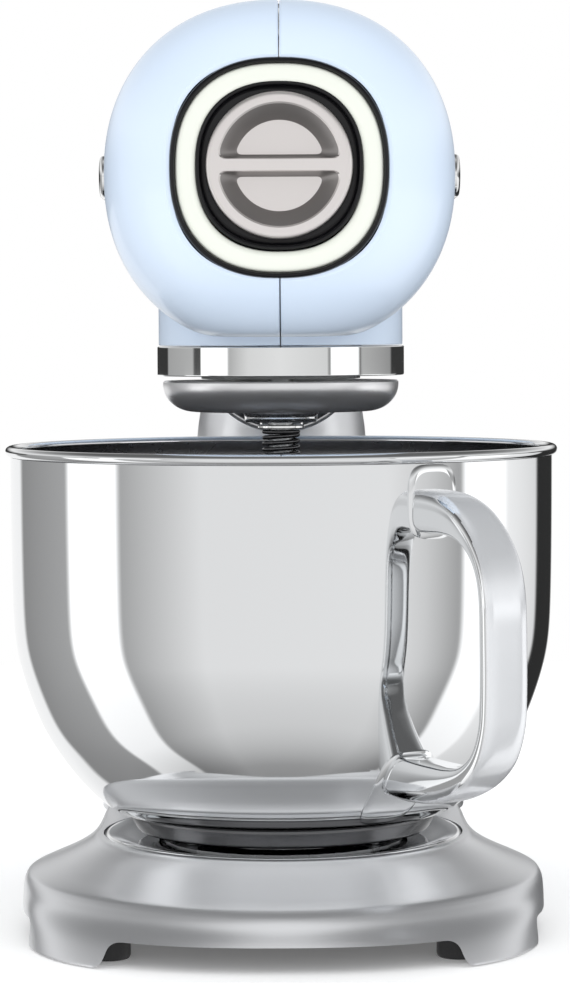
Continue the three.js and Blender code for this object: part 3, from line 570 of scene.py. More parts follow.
class MIXER_OT_column(bpy.types.Operator):
    """Cast column with its saddle, rear cover, release button and cord inlet"""

    bl_idname = "mixer.column"
    bl_label = "Column"

    def execute(self, context):
        column = grid_piece("column_casting_fine", column_rings(), None, None, wrap_columns=True, caps=True)
        combine(column, prism(circle(SADDLE_RADIUS, (0, HINGE_Z)), AXIS_Y + 80 * MM, BEHIND, "Y"))
        slope = np.array([(180, 227), (240, 196), (260, 260), (180, 260)]) * MM + np.array([AXIS_Y, 0])
        combine(column, prism(slope, -0.06, 0.06, "X"))
        post_room = np.array([(-9.3, 149.7, 189), (9.3, 170.3, 230)]) * MM + np.array(BOWL_AXIS)
        combine(column, block(*post_room))
        low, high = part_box("column_rear_cover")
        cover_outline = rounded(rectangle(low.x, high.x, low.z, high.z), 6 * MM, 6)
        cover = column.copy()
        cover.data = column.data.copy()
        cover.name = "column_rear_cover_fine"
        bpy.context.scene.collection.objects.link(cover)
        combine(cover, prism(cover_outline, low.y + 4 * MM, low.y + 60 * MM, "Y"), "INTERSECT")
        opening = cover_outline + np.sign(cover_outline - np.mean(cover_outline, 0)) * 0.6 * MM
        combine(column, prism(opening, low.y - 20 * MM, low.y + 60 * MM, "Y"))
        button_z = middle("release_button").z
        combine(column, prism(circle(BUTTON_BORE, (0, button_z)), LATCH_ROOM_Y, BEHIND, "Y"))
        inlet = circle(INLET_BORE, (0, middle("cord_inlet_gland").z))
        combine(cover, prism(inlet, AXIS_Y + 180 * MM, BEHIND, "Y"))
        for obj, node in ((column, "column_casting"), (cover, "column_rear_cover")):
            complete(obj, 32, "base", "silver_paint", [node], "silver_paint")
        low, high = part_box("release_button")
        cap = [
            (0, -high.y), (7.6 * MM, -high.y), (8.8 * MM, 1.2 * MM - high.y),
            (8.8 * MM, -low.y), (0, -low.y)]
        cap = rounded(cap, [0, 1 * MM, 1 * MM, 0.2 * MM, 0], closed=False)
        button = turned_piece("release_button_fine", cap, "release", "chrome", ["release_button"],
                              centre=(0, 0, button_z), axis="F", closed=False, segments=64)
        paint(button, "chrome")
        return {"FINISHED"}


class MIXER_OT_knuckle(bpy.types.Operator):
    """Ball-shaped hinge knuckle under the head"""

    bl_idname = "mixer.knuckle"
    bl_label = "Hinge knuckle"

    def execute(self, context):
        turn = np.linspace(0, np.pi, 60)
        radius = (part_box("hinge_knuckle")[1].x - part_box("hinge_knuckle")[0].x) / 2
        ball = np.stack([radius * np.sin(turn), -radius * np.cos(turn)], -1)
        knuckle = turned_tool(ball, HINGE, 96)
        knuckle.name = "hinge_knuckle_fine"
        tilt = math.radians(28)
        side = 10.8 * MM
        sine, cosine = math.sin(tilt), math.cos(tilt)
        reach = 60 * MM
        slot = np.array([
            (-side, 24 * MM), (-side, -reach), (side * cosine + reach * sine, side * sine - reach * cosine),
            (side * cosine, side * sine), (side + 6 * MM, 24 * MM)]) + np.array([HINGE_Y, HINGE_Z])
        combine(knuckle, prism(slot, -10 * MM, 10 * MM, "X"))
        top = (-0.06, HINGE_Y - 0.06, HINGE_Z + 21.5 * MM)
        combine(knuckle, block(top, (0.06, HINGE_Y + 0.06, HINGE_Z + 0.08)))
        combine(knuckle, prism(circle(8 * MM, (HINGE_Y, HINGE_Z), 64), -28 * MM, 28 * MM, "X"))
        complete(knuckle, 32, "head", "silver_paint", ["hinge_knuckle"], "silver_paint")
        return {"FINISHED"}


# ---------------------------------------------------------------- head

HEAD_HALF = 69.3 * MM
HEAD_TALL = 68.6 * MM
DOME_START = AXIS_Y - 62 * MM
DOME_LENGTH = 71.5 * MM
NOSE_Y = AXIS_Y - 118 * MM
TAIL_START = AXIS_Y + 110 * MM
TAIL_END = AXIS_Y + 259 * MM
NECK_RADIUS = 50.6 * MM
CHIN_Z = 245.2 * MM
CHIN_SOFTNESS = 1.3 * MM


def head_stations():
    """Places along the head: even in angle over the dome, closer together at the tip of the tail."""
    first = math.asin((DOME_START - NOSE_Y) / DOME_LENGTH)
    dome = DOME_START - DOME_LENGTH * np.sin(np.linspace(first, 0, 36))
    middle_part = np.linspace(DOME_START, TAIL_START, 40)[1:]
    tail = TAIL_START + (TAIL_END - TAIL_START) * np.sin(np.linspace(0, np.pi / 2, 60)[1:])
    return np.concatenate([dome, middle_part, tail])


def head_scale(y):
    """Size of the section: sqrt(1 - t^2) over the dome, (1 - t^2.4)^0.45 over the tail."""
    dome = np.sqrt(1 - (np.clip(DOME_START - y, 0, None) / DOME_LENGTH) ** 2)
    t = np.clip((y - TAIL_START) / (TAIL_END - TAIL_START), 0, 1)
    return dome * (1 - t ** 2.4) ** 0.45


def head_grid(inset, hand):
    """Half of the head: superellipse sections from bottom to top, with the seam edges rounded over.
    The underside is kept above the chin by the smooth maximum s log(exp(z/s) + exp(chin/s))."""
    y = head_stations()[:, None]
    near = np.array([0.0012, 0.0025, 0.0045, 0.007, 0.011, 0.018, 0.03])
    rest = np.linspace(math.asin(0.05), np.pi / 2, 48)
    climb = np.concatenate([np.arcsin(near), rest])
    angle = np.concatenate([-(np.pi / 2 - climb), (np.pi / 2 - climb)[::-1][1:]])[None, :]
    scale = head_scale(y) * (1 - inset / HEAD_HALF)
    nose = np.clip((DOME_START - y) / (DOME_START - NOSE_Y), 0, 1) ** 2
    exponent = sizes().head_power + 0.35 * nose
    x = HEAD_HALF * scale * power(np.cos(angle), exponent)
    z = HEAD_TALL * scale * power(np.sin(angle), exponent)
    seam = sizes().seam_gap / 2
    over = np.clip(1 - (x - seam) / (0.9 * MM), 0, 1) ** 2 * (0.7 * MM) * (inset == 0) * (scale > 0.02)
    z = z - np.sign(z) * over
    x = np.maximum(x, seam)
    ease = np.clip((y - (AXIS_Y + 62 * MM)) / (40 * MM), 0, 1)
    chin = CHIN_Z + inset - HEAD_Z - 6 * MM * ease
    lifted = CHIN_SOFTNESS * np.logaddexp(z / CHIN_SOFTNESS, chin / CHIN_SOFTNESS)
    z = np.where(z < 0, lifted, z)
    y = np.where(y > AXIS_Y, y - inset * (y - AXIS_Y) / (TAIL_END - AXIS_Y), y) + 0 * x
    return np.stack([hand * x, y, z + HEAD_Z], -1)


def neck_grid(radius, hand):
    """Half of the neck's wall: a half cylinder from the band up into the head."""
    angle = np.linspace(-np.pi / 2, np.pi / 2, 90)[None, :]
    z = np.array([241.8, 242.2, 250, 263])[:, None] * MM
    bevel = np.where(z < 242 * MM, 0.4 * MM, 0) * (radius > 49 * MM)
    x = np.maximum((radius - bevel) * np.cos(angle), sizes().seam_gap / 2)
    y = (radius - bevel) * np.sin(angle) + AXIS_Y
    return np.stack([hand * x, y, z + 0 * x], -1)


class MIXER_OT_head(bpy.types.Operator):
    """Painted head: two shells with their neck, split down the middle"""

    bl_idname = "mixer.head"
    bl_label = "Head shells"

    def execute(self, context):
        wall = sizes().shell_wall
        margin = 0.3 * MM
        low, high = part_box("speed_scale_strip")
        bed = rectangle(low.x - margin, high.x + margin, low.y - margin, high.y + margin)
        bed = rounded(bed, 7.5 * MM, 10)
        lever_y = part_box("speed_lever")[0].y
        bore, under = np.array(rectangle(0, 47.6, 225, 268)) * MM, np.array(rectangle(0, 53, 225, 241.8)) * MM
        turn = np.linspace(0, np.pi, 40)
        ball = 38.3 * MM * np.stack([np.sin(turn), -np.cos(turn)], -1)
        for hand, side in ((-1, "left"), (1, "right")):
            name = f"head_shell_{side}"
            shell = walled_piece(name + "_fine", head_grid(0, hand), head_grid(wall, hand), None, None)
            inner_neck = neck_grid(NECK_RADIUS - wall, hand)
            neck = walled_piece("cutter", neck_grid(NECK_RADIUS, hand), inner_neck, None, None)
            combine(shell, neck, "UNION")
            combine(shell, turned_tool(bore, BOWL_AXIS))
            combine(shell, turned_tool(under, BOWL_AXIS))
            combine(shell, turned_tool(ball, HINGE, 96))
            combine(shell, prism(bed, low.z - 0.2 * MM, 0.42, "Z"))
            combine(shell, block((-4.7 * MM, lever_y, 0.355), (4.7 * MM, lever_y + 0.08, 0.42)))
            complete(shell, 30, "head", "blue_paint", [name], "head_paint")
        return {"FINISHED"}


def framed(profile, centre_z, exponent=2.35):
    """Rings of squircles: each (half size, front distance) of a profile gives one ring about a level axis."""
    rings = []
    for half, front in profile:
        across, up = squircle(half, exponent).T
        rings.append(np.stack([across, 0 * across + AXIS_Y - front, up + centre_z], -1))
    return np.stack(rings)


def half_moon(radius, offset, sign, y):
    """Ring in a plane across Y: an arc above the height offset, closed by a chord, with rounded corners."""
    start = math.asin(offset / radius) + 0.16
    turn = np.linspace(start, math.pi - start, 64)
    arc = radius * np.stack([np.cos(turn), np.sin(turn)], -1)
    corner = np.array([math.sqrt(radius ** 2 - offset ** 2), offset])
    end = corner - (0.16 * radius, 0)
    t = np.linspace(0, 1, 8)[1:, None]
    bend = (1 - t) ** 2 * arc[0] + 2 * t * (1 - t) * corner + t ** 2 * end
    outline = np.concatenate([arc, (bend * (-1, 1)), bend[::-1]])
    return np.column_stack([outline[:, 0], np.full(len(outline), y), sign * outline[:, 1] + DRIVE_Z])


class MIXER_OT_nose(bpy.types.Operator):
    """Chrome squircle ring in a pale cream that paints the white it reflects, with its gasket, black bezel and
    the hub cover with its grip bar
    """

    bl_idname = "mixer.nose"
    bl_label = "Nose ring and hub cover"

    def execute(self, context):
        loop = {"wrap_rows": True, "wrap_columns": True}
        corners = [(31.5, 108), (39.4, 108), (39.4, 118.2), (38.4, 119.6), (33.0, 119.9), (31.5, 118.6)]
        ring = framed(rounded_mm(corners, [0.2, 0.2, 1.0, 1.6, 1.2, 0.8], steps=6), HEAD_Z)
        trim = grid_piece("front_trim_pale", ring, "head", "chrome", ["front_trim_ring"], **loop)
        # painted reflection: the chrome ring takes a pale cream in place of the white it reflects
        paint(trim, "nose_ring_painted_reflection")
        corners = [(39.4, 108), (41.8, 108), (42.0, 116.5), (41.3, 119.4), (40.2, 120.2), (39.4, 119.0)]
        gasket = framed(rounded_mm(corners, [0.1, 0.1, 1.2, 1.0, 0.7, 0.5]), HEAD_Z)
        paint(grid_piece("nose_gasket", gasket, "head", "black_plastic", **loop), "gloss_black")
        corners = [
            (24, 110), (32.0, 110), (32.0, 118.6), (31.3, 119.8), (30.3, 119.4), (29.6, 117), (24, 116.4)]
        bezel = framed(rounded_mm(corners, [0.1, 0.1, 0.6, 0.5, 0.5, 1.0, 0.1]), DRIVE_Z, 2.3)
        black = grid_piece("front_bezel_fine", bezel, "head", "black_plastic", ["front_bezel"], **loop)
        paint(black, "gloss_black")
        self.hub_cover()
        return {"FINISHED"}

    def hub_cover(self):
        """Disc with a bar across it: two half-moon pockets narrow towards their floors."""
        corners = [
            (0, 112.5), (17, 112.5), (17, 104), (20, 104), (20, 112), (27.8, 112), (27.8, 120.4),
            (26.8, 121.4),
            (0, 121.9)]
        profile = rounded_mm(corners, [0, 0.1, 0.1, 0.1, 0.1, 0.2, 1.0, 1.0, 0], closed=False)
        cover = turned_piece("hub_cover_fine", profile, None, None, centre=(0, AXIS_Y, DRIVE_Z), axis="F",
                             closed=False, segments=192)
        # radius, chord's height and front distance of each ring
        rings = [
            (24.6, 1.9, 124), (24.2, 2.1, 121.9), (23.0, 2.5, 120.9), (18.0, 3.6, 115.4), (17.2, 4.2, 114.6)]
        for sign in (1, -1):
            pocket = [half_moon(r * MM, chord * MM, sign, AXIS_Y - front * MM) for r, chord, front in rings]
            combine(cover, grid_piece("cutter", np.stack(pocket), None, None, wrap_columns=True, caps=True))
        complete(cover, 28, "cover", "satin_nickel", ["hub_cover"], "satin_nickel", "nickel_painted_shade")
        centre, normal = face_arrays(cover)
        front = AXIS_Y - centre[:, 1]
        reach = np.hypot(centre[:, 0], centre[:, 2] - DRIVE_Z)
        sloping = (normal[:, 1] > -0.86) & (reach < 25 * MM)
        # painted shade: the pockets' sloping walls take the darkened nickel
        second_finish(cover, sloping & (front > 114.7 * MM) & (front < 121.2 * MM))


class MIXER_OT_trims(bpy.types.Operator):
    """Neck band, side badges, scale strip and speed lever"""

    bl_idname = "mixer.trims"
    bl_label = "Trims and lever"

    def execute(self, context):
        low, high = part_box("neck_band")
        outer, inner = high.x, 47.2 * MM
        profile = rounded(rectangle(inner, outer, low.z, high.z), 0.5 * MM, 5)
        band = turned_piece("neck_band_polished", profile, "head", "chrome", ["neck_band"],
                            centre=BOWL_AXIS, segments=192)
        paint(band, "chrome")
        for hand, side in ((-1, "left"), (1, "right")):
            self.badge(hand, side)
        self.strip()
        self.lever()
        return {"FINISHED"}

    def badge(self, hand, side):
        """Rounded bar laid on the flank: a superelliptic outline domed outwards over the head's section."""
        low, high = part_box(f"side_badge_{side}")
        centre_y, centre_z = (low.y + high.y) / 2, (low.z + high.z) / 2
        half_y, half_z = (high.y - low.y) / 2, (high.z - low.z) / 2
        turn = np.linspace(0, 2 * np.pi, 160, endpoint=False)[None, :]
        level = np.array([0, 0.3, 0.6, 0.78, 0.88, 0.94, 0.98, 1.0, 1.0])[:, None]
        toward = np.cos(turn)
        outline_y = (half_y - half_z) * np.sign(toward) * (np.abs(toward) > 1e-6) + half_z * toward
        y = centre_y + level * outline_y
        z = centre_z + level * half_z * np.sin(turn)
        reach = HEAD_HALF * head_scale(y) * (1 - np.abs((z - HEAD_Z) / HEAD_TALL) ** 2.2) ** (1 / 2.2)
        proud = np.array([2.75, 2.75, 2.7, 2.6, 2.4, 2.1, 1.6, 0.9, -0.5])[:, None] * MM
        points = np.stack([hand * (reach + proud), y, z], -1)
        badge = grid_piece(f"side_badge_{side}_fine", points, "head", "chrome", [f"side_badge_{side}"],
                           wrap_columns=True, caps=True)
        paint(badge, "chrome")

    def strip(self):
        """Flush strip with a slot, rounded at its ends."""
        low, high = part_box("speed_scale_strip")
        outline = rounded(rectangle(low.x, high.x, low.y, high.y), 7.5 * MM, 10)
        strip = prism(outline, low.z, high.z, "Z")
        strip.name = "speed_scale_strip_fine"
        lever_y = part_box("speed_lever")[0].y
        slot = rectangle(-4.6 * MM, 4.6 * MM, lever_y + 1 * MM, lever_y + 0.075)
        combine(strip, prism(rounded(slot, 4.5 * MM, 8), 0.35, 0.4, "Z"))
        for step in range(11):
            y = lever_y + 11 * MM + step * 5 * MM
            half = (1.5 if step % 5 else 2.4) * MM
            mark = (5.2 * MM, y - 0.3 * MM, high.z - 0.3 * MM)
            combine(strip, block(mark, (5.2 * MM + half, y + 0.3 * MM, 0.4)))
        complete(strip, 30, "head", "chrome", ["speed_scale_strip"], "chrome")

    def lever(self):
        """Oval knob on its stem: an ellipsoid with a shallow thumb dip."""
        low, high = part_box("speed_lever")
        centre = (low + high) / 2
        across = np.linspace(0, np.pi, 40)[:, None]
        around = np.linspace(0, 2 * np.pi, 64, endpoint=False)[None, :]
        half_x, half_y, half_z = 7.5 * MM, 11 * MM, 3.2 * MM
        x = half_x * np.sin(across) * np.cos(around)
        y = half_y * np.sin(across) * np.sin(around)
        z = -half_z * np.cos(across) + 0 * around
        dip = 1.1 * MM * np.exp(-(x / (4 * MM)) ** 2 - (y / (5 * MM)) ** 2) * (z > 0)
        points = np.stack([x, y + centre.y, z - dip + high.z - half_z], -1)
        knob = grid_piece("speed_lever_fine", points, None, None, wrap_columns=True)
        stem = block((-4 * MM, centre.y - 10 * MM, 0.370), (4 * MM, centre.y + 10 * MM, high.z - half_z))
        combine(knob, stem, "UNION")
        complete(knob, 40, "lever", "chrome", ["speed_lever"], "chrome")


class MIXER_OT_drive(bpy.types.Operator):
    """Planetary cover, tool shaft, washer and coil spring"""

    bl_idname = "mixer.drive"
    bl_label = "Planetary drive"

    def execute(self, context):
        low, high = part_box("planetary_cover")
        outer = high.x
        depth, bottom, top = 12.8 * MM, 214.4 * MM, 227.2 * MM
        bulge = np.linspace(0, np.pi / 2, 24)
        belly_z = top - 1.5 * MM - (depth - 1.5 * MM) * np.cos(bulge)
        belly = np.stack([outer - depth * (1 - np.sin(bulge)), belly_z], -1)
        rim = [(outer, top - 0.6 * MM), (outer - 0.6 * MM, top), (outer - 3 * MM, top),
               (outer - 3 * MM, top - 3 * MM), (0, top - 3 * MM)]
        profile = np.concatenate([[(0, bottom)], [(outer - depth - 8 * MM, bottom)], belly, rim])
        cover = turned_tool(profile, BOWL_AXIS, 160)
        cover.name = "planetary_cover_fine"
        shaft_place = (0, PLANET_Y, 0)
        corners = [
            (0, 210.5), (14.2, 210.5), (14.7, 211.2), (14.9, 214.0), (17.5, 215.4), (17.5, 221), (0, 221)]
        boss = rounded_mm(corners, [0, 0.4, 0.8, 1.4, 0.6, 0.1, 0], closed=False)
        combine(cover, turned_tool(boss, shaft_place, 96), "UNION")
        combine(cover, turned_tool(np.array(rectangle(0, 6.2, 200, 235)) * MM, shaft_place, 64))
        combine(cover, turned_tool(np.array(rectangle(0, 11.3, 218, 235)) * MM, shaft_place, 64))
        complete(cover, 35, "carrier", "dark_silver", ["planetary_cover"], "dark_silver", "chrome")
        centre, _ = face_arrays(cover)
        beside = np.hypot(centre[:, 0], centre[:, 1] - PLANET_Y) < 19 * MM
        second_finish(cover, beside & (centre[:, 2] < bottom - 0.3 * MM))

        low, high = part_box("shaft_washer")
        ring = rounded(rectangle(5.3 * MM, 9.4 * MM, low.z, high.z), 0.4 * MM, 4)
        washer = turned_piece("shaft_washer_fine", ring, "planet", "polished_steel", ["shaft_washer"],
                              centre=shaft_place, segments=64)
        paint(washer, "chrome")
        low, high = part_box("tool_shaft")
        end = np.array([
            (0, low.z), (3.8 * MM, low.z), (5 * MM, low.z + 2 * MM), (5 * MM, high.z), (0, high.z)])
        end = rounded(end, [0, 1 * MM, 1 * MM, 0.2 * MM, 0], closed=False)
        shaft = turned_piece("tool_shaft_fine", end, "planet", "steel", ["tool_shaft"],
                             centre=shaft_place, closed=False, segments=64)
        paint(shaft, "machined_steel")
        self.spring()
        return {"FINISHED"}

    def spring(self):
        """Coil spring: a wire circle carried along a helix, its ends closed flat."""
        low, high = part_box("shaft_spring")
        wire, turns = sizes().spring_wire / 2, sizes().spring_turns
        radius = high.x - wire
        t = np.linspace(0, 1, turns * 28 + 1)
        angle = 2 * np.pi * turns * t
        rise = (high.z - low.z - 2 * wire) * np.clip((t - 0.06) / 0.88, 0, 1) + low.z + wire
        centre = np.stack([radius * np.cos(angle), PLANET_Y + radius * np.sin(angle), rise], -1)[:, None]
        outward = np.stack([np.cos(angle), np.sin(angle), 0 * angle], -1)[:, None]
        around = np.linspace(0, 2 * np.pi, 12, endpoint=False)[None, :, None]
        points = centre + wire * (np.cos(around) * outward + np.sin(around) * np.array([0, 0, 1.0]))
        spring = grid_piece("shaft_spring_coil", points, "planet", "steel", ["shaft_spring"],
                            wrap_columns=True, caps=True)
        paint(spring, "dark_steel_and_painted_shade")


# ---------------------------------------------------------------- bowl

BOWL_KNOTS = np.array([
    # outer radius, z
    (52, 47.2), (62, 47.4), (70.5, 49.6), (77.3, 54.6), (86.9, 64.6), (94, 74.6), (100.2, 84.8), (106, 99.8),
    (109.6, 112.5), (111.4, 125), (112, 145), (112.3, 168), (112.4, 196.2)]) * MM
RIM_RADIUS = 114.5 * MM
FLOOR_Z = 47.2 * MM


def bowl_wall():
    """Outer profile of the bowl, from its foot to the rim, evened out by averaging (a + 2 b + c) / 4."""
    path = smooth_path(BOWL_KNOTS, 8)
    for _ in range(25):
        path[1:-1] = (path[:-2] + 2 * path[1:-1] + path[2:]) / 4
    return path


def bowl_radius(z):
    """Outer radius of the bowl at a height."""
    wall = bowl_wall()
    return np.interp(z, wall[:, 1], wall[:, 0])


class MIXER_OT_bowl(bpy.types.Operator):
    """Polished steel bowl with its rolled rim and foot ring"""

    bl_idname = "mixer.bowl"
    bl_label = "Bowl"

    def execute(self, context):
        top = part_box("bowl_shell")[1].z
        outer = bowl_wall()
        slope = np.gradient(outer, axis=0)
        normal = np.stack([slope[:, 1], -slope[:, 0]], -1) / np.linalg.norm(slope, axis=1)[:, None]
        inner = (outer - normal * sizes().bowl_wall)[::-1]
        bead = 2.1 * MM
        roll = np.radians(np.linspace(-100, 200, 26))
        centre = np.array([RIM_RADIUS - bead, top - bead])
        curl = centre + bead * np.stack([np.cos(roll), np.sin(roll)], -1)
        profile = np.concatenate([[(0, FLOOR_Z)], outer, curl, inner, [(0, FLOOR_Z + sizes().bowl_wall)]])
        bowl = turned_piece("bowl_polished", profile, "bowl", "polished_steel", ["bowl_shell"],
                            centre=BOWL_AXIS, closed=False, segments=256, sharp=50)
        paint(bowl, "polished_steel", "brushed_inside")
        centre, normal = face_arrays(bowl)
        inward = ((centre * (1, 1, 0) - BOWL_AXIS) * normal).sum(1) < 0
        second_finish(bowl, (inward | (normal[:, 2] > 0.9)) & (centre[:, 2] < top - 3.4 * MM))
        corners = [(52, 40.6), (59.8, 40.6), (61.0, 41.4), (64.2, 47.4), (63.6, 48.4), (52, 46.9)]
        ring = rounded_mm(corners, [0.3, 0.6, 0.8, 0.4, 0.2, 0.1])
        foot = turned_piece("bowl_foot_polished", ring, "bowl", "polished_steel", ["bowl_foot"],
                            centre=BOWL_AXIS, segments=192)
        # painted shade: the polished foot ring takes dark steel for the shade and dark reflection beneath the
        # bowl
        paint(foot, "dark_steel_and_painted_shade")
        return {"FINISHED"}


HANDLE_ANGLE = math.radians(-90 + 31.3)
HANDLE_OUTSIDE = np.array([
    # distance from the bowl's axis, z
    (109, 186.0), (120, 186.0), (131, 184.2), (142, 179.4), (152, 170.8), (159, 160), (162.4, 147),
    (163.2, 130),
    (163.2, 110), (161.8, 97), (156.5, 84.5), (147, 75.4), (135, 69.2), (121, 65.4), (105, 64.0), (90, 64.8)])
HANDLE_INSIDE = np.array([
    (109, 169.4), (120, 169.4), (129, 169.3), (138, 168.0), (146.5, 164.0), (152.6, 157.2), (155.4, 147.6),
    (156, 130), (156, 108), (154.6, 96.6), (149.4, 87.6), (141, 82.6), (131, 80.9), (120, 80.6),
    (107, 80.8), (94, 81.4)])


class MIXER_OT_handle(bpy.types.Operator):
    """Strap handle of the bowl, with its two welded tabs.
    Its sections lie between an outer and an inner curve and are superelliptic, crowned outside."""

    bl_idname = "mixer.handle"
    bl_label = "Bowl handle"

    def execute(self, context):
        outer = smooth_path(HANDLE_OUTSIDE * MM, 12)
        inner = smooth_path(HANDLE_INSIDE * MM, 12)
        path, across = (outer + inner) / 2, outer - inner
        depth = np.linalg.norm(across, axis=1)[:, None]
        normal = across / depth
        turn = np.linspace(0, 2 * np.pi, 72, endpoint=False)
        wide = sizes().handle_width / 2 * power(np.cos(turn), 4.2)[None, :, None]
        deep = depth / 2 * power(np.sin(turn), 3.0)[None, :]
        radial = path[:, :1] + normal[:, :1] * deep
        height = path[:, 1:] + normal[:, 1:] * deep
        out = np.array([math.cos(HANDLE_ANGLE), math.sin(HANDLE_ANGLE), 0])
        side = np.array([-math.sin(HANDLE_ANGLE), math.cos(HANDLE_ANGLE), 0])
        points = radial[..., None] * out + wide * side + height[..., None] * np.array([0, 0, 1.0])
        strap = grid_piece("bowl_handle_strap", points + np.array(BOWL_AXIS), "bowl", "polished_steel",
                           ["bowl_handle"], wrap_columns=True, caps=True, sharp=60)
        paint(strap, "polished_steel", "steel_painted_reflection")
        centre, normal = face_arrays(strap)
        loop_middle = out * 118 * MM + np.array([0, AXIS_Y, 126 * MM])
        outward = ((centre - loop_middle) * normal).sum(1) > 0
        # painted reflection: the strap's outer face takes the paler, half-diffuse steel for the white it
        # reflects
        second_finish(strap, outward & (np.abs(normal @ side) < 0.72))
        self.tab("bowl_handle_tab_upper", 167.0 * MM, 196.2 * MM, 11.0 * MM)
        self.tab("bowl_handle_tab_lower", 51 * MM, 83 * MM, 12.5 * MM)
        return {"FINISHED"}

    def tab(self, name, low, high, half):
        """Thin plate of superelliptic outline pressed on the bowl's wall, rounded over at its edge."""
        level = np.array([0, 0.35, 0.6, 0.78, 0.88, 0.94, 0.98, 1.0])[:, None]
        turn = np.linspace(0, 2 * np.pi, 96, endpoint=False)[None, :]
        u = level * half * power(np.cos(turn), 3.4)
        z = (low + high) / 2 + level * (high - low) / 2 * power(np.sin(turn), 3.4)
        sheets = []
        for proud in (1.3 * MM, -0.3 * MM):
            rounding = np.clip((level - 0.86) / 0.14, 0, 1) ** 2 * 0.7 * MM * (proud > 0)
            radius = bowl_radius(z) + proud - rounding
            angle = HANDLE_ANGLE + u / radius
            sheets.append(np.stack([radius * np.cos(angle), radius * np.sin(angle) + AXIS_Y, z], -1))
        points = np.concatenate([sheets[0], sheets[1][::-1]])
        plate = grid_piece(name, points, "bowl", "polished_steel", wrap_columns=True)
        paint(plate, "polished_steel")


# ---------------------------------------------------------------- pieces kept from the frame

KEPT_FINISHES = {
    "moulded_black": ["base_bottom_plate", "accessory_hub_housing", "cooling_fan"],
    "foot_rubber": ["cord_inlet_gland"],
    "machined_steel": [
        "seat_screw_1", "seat_screw_2", "seat_screw_3", "hinge_post", "hinge_pin", "latch_slider",
        "latch_spring",
        "ring_gear", "lower_bearing", "upper_bearing", "centre_shaft", "crown_wheel", "planet_bearing",
        "planet_pinion", "tool_cross_pin", "rotor_core", "motor_shaft", "motor_pinion", "accessory_shaft",
        "accessory_bevel_gear", "seat_washer"],
    "cast_aluminium": ["head_frame", "motor_rear_bracket", "planet_carrier"],
    "sintered_bronze": ["hinge_bush_left", "hinge_bush_right"],
    "copper_winding": ["motor_stator"],
    "board_green": ["control_board"],
}


class MIXER_OT_mechanism(bpy.types.Operator):
    """Finishes of the inner pieces that keep their plain shapes"""

    bl_idname = "mixer.mechanism"
    bl_label = "Mechanism finishes"

    def execute(self, context):
        for name, nodes in KEPT_FINISHES.items():
            for node in nodes:
                paint(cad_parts[node], name)
        return {"FINISHED"}


# ---------------------------------------------------------------- stage

SENSOR = 36.0
LENS = 115.2143
CAMERA_BACK = 1.309
CAMERA_TALL = 0.2461
CAMERA_PITCH = math.atan(0.049841)  # downwards
CAMERA_ROLL = math.radians(-0.3)


def ramp_socket(tree, source, stops):
    """Colour ramp of greys (place, value) driven by a socket."""
    ramp = add_node(tree, "ValToRGB", {0: source})
    elements = ramp.color_ramp.elements
    while len(elements) < len(stops):
        elements.new(0.5)
    for element, (place, value) in zip(elements, sorted(stops)):
        element.position = place
        element.color = (value, value, value, 1)
    return ramp.outputs[0]


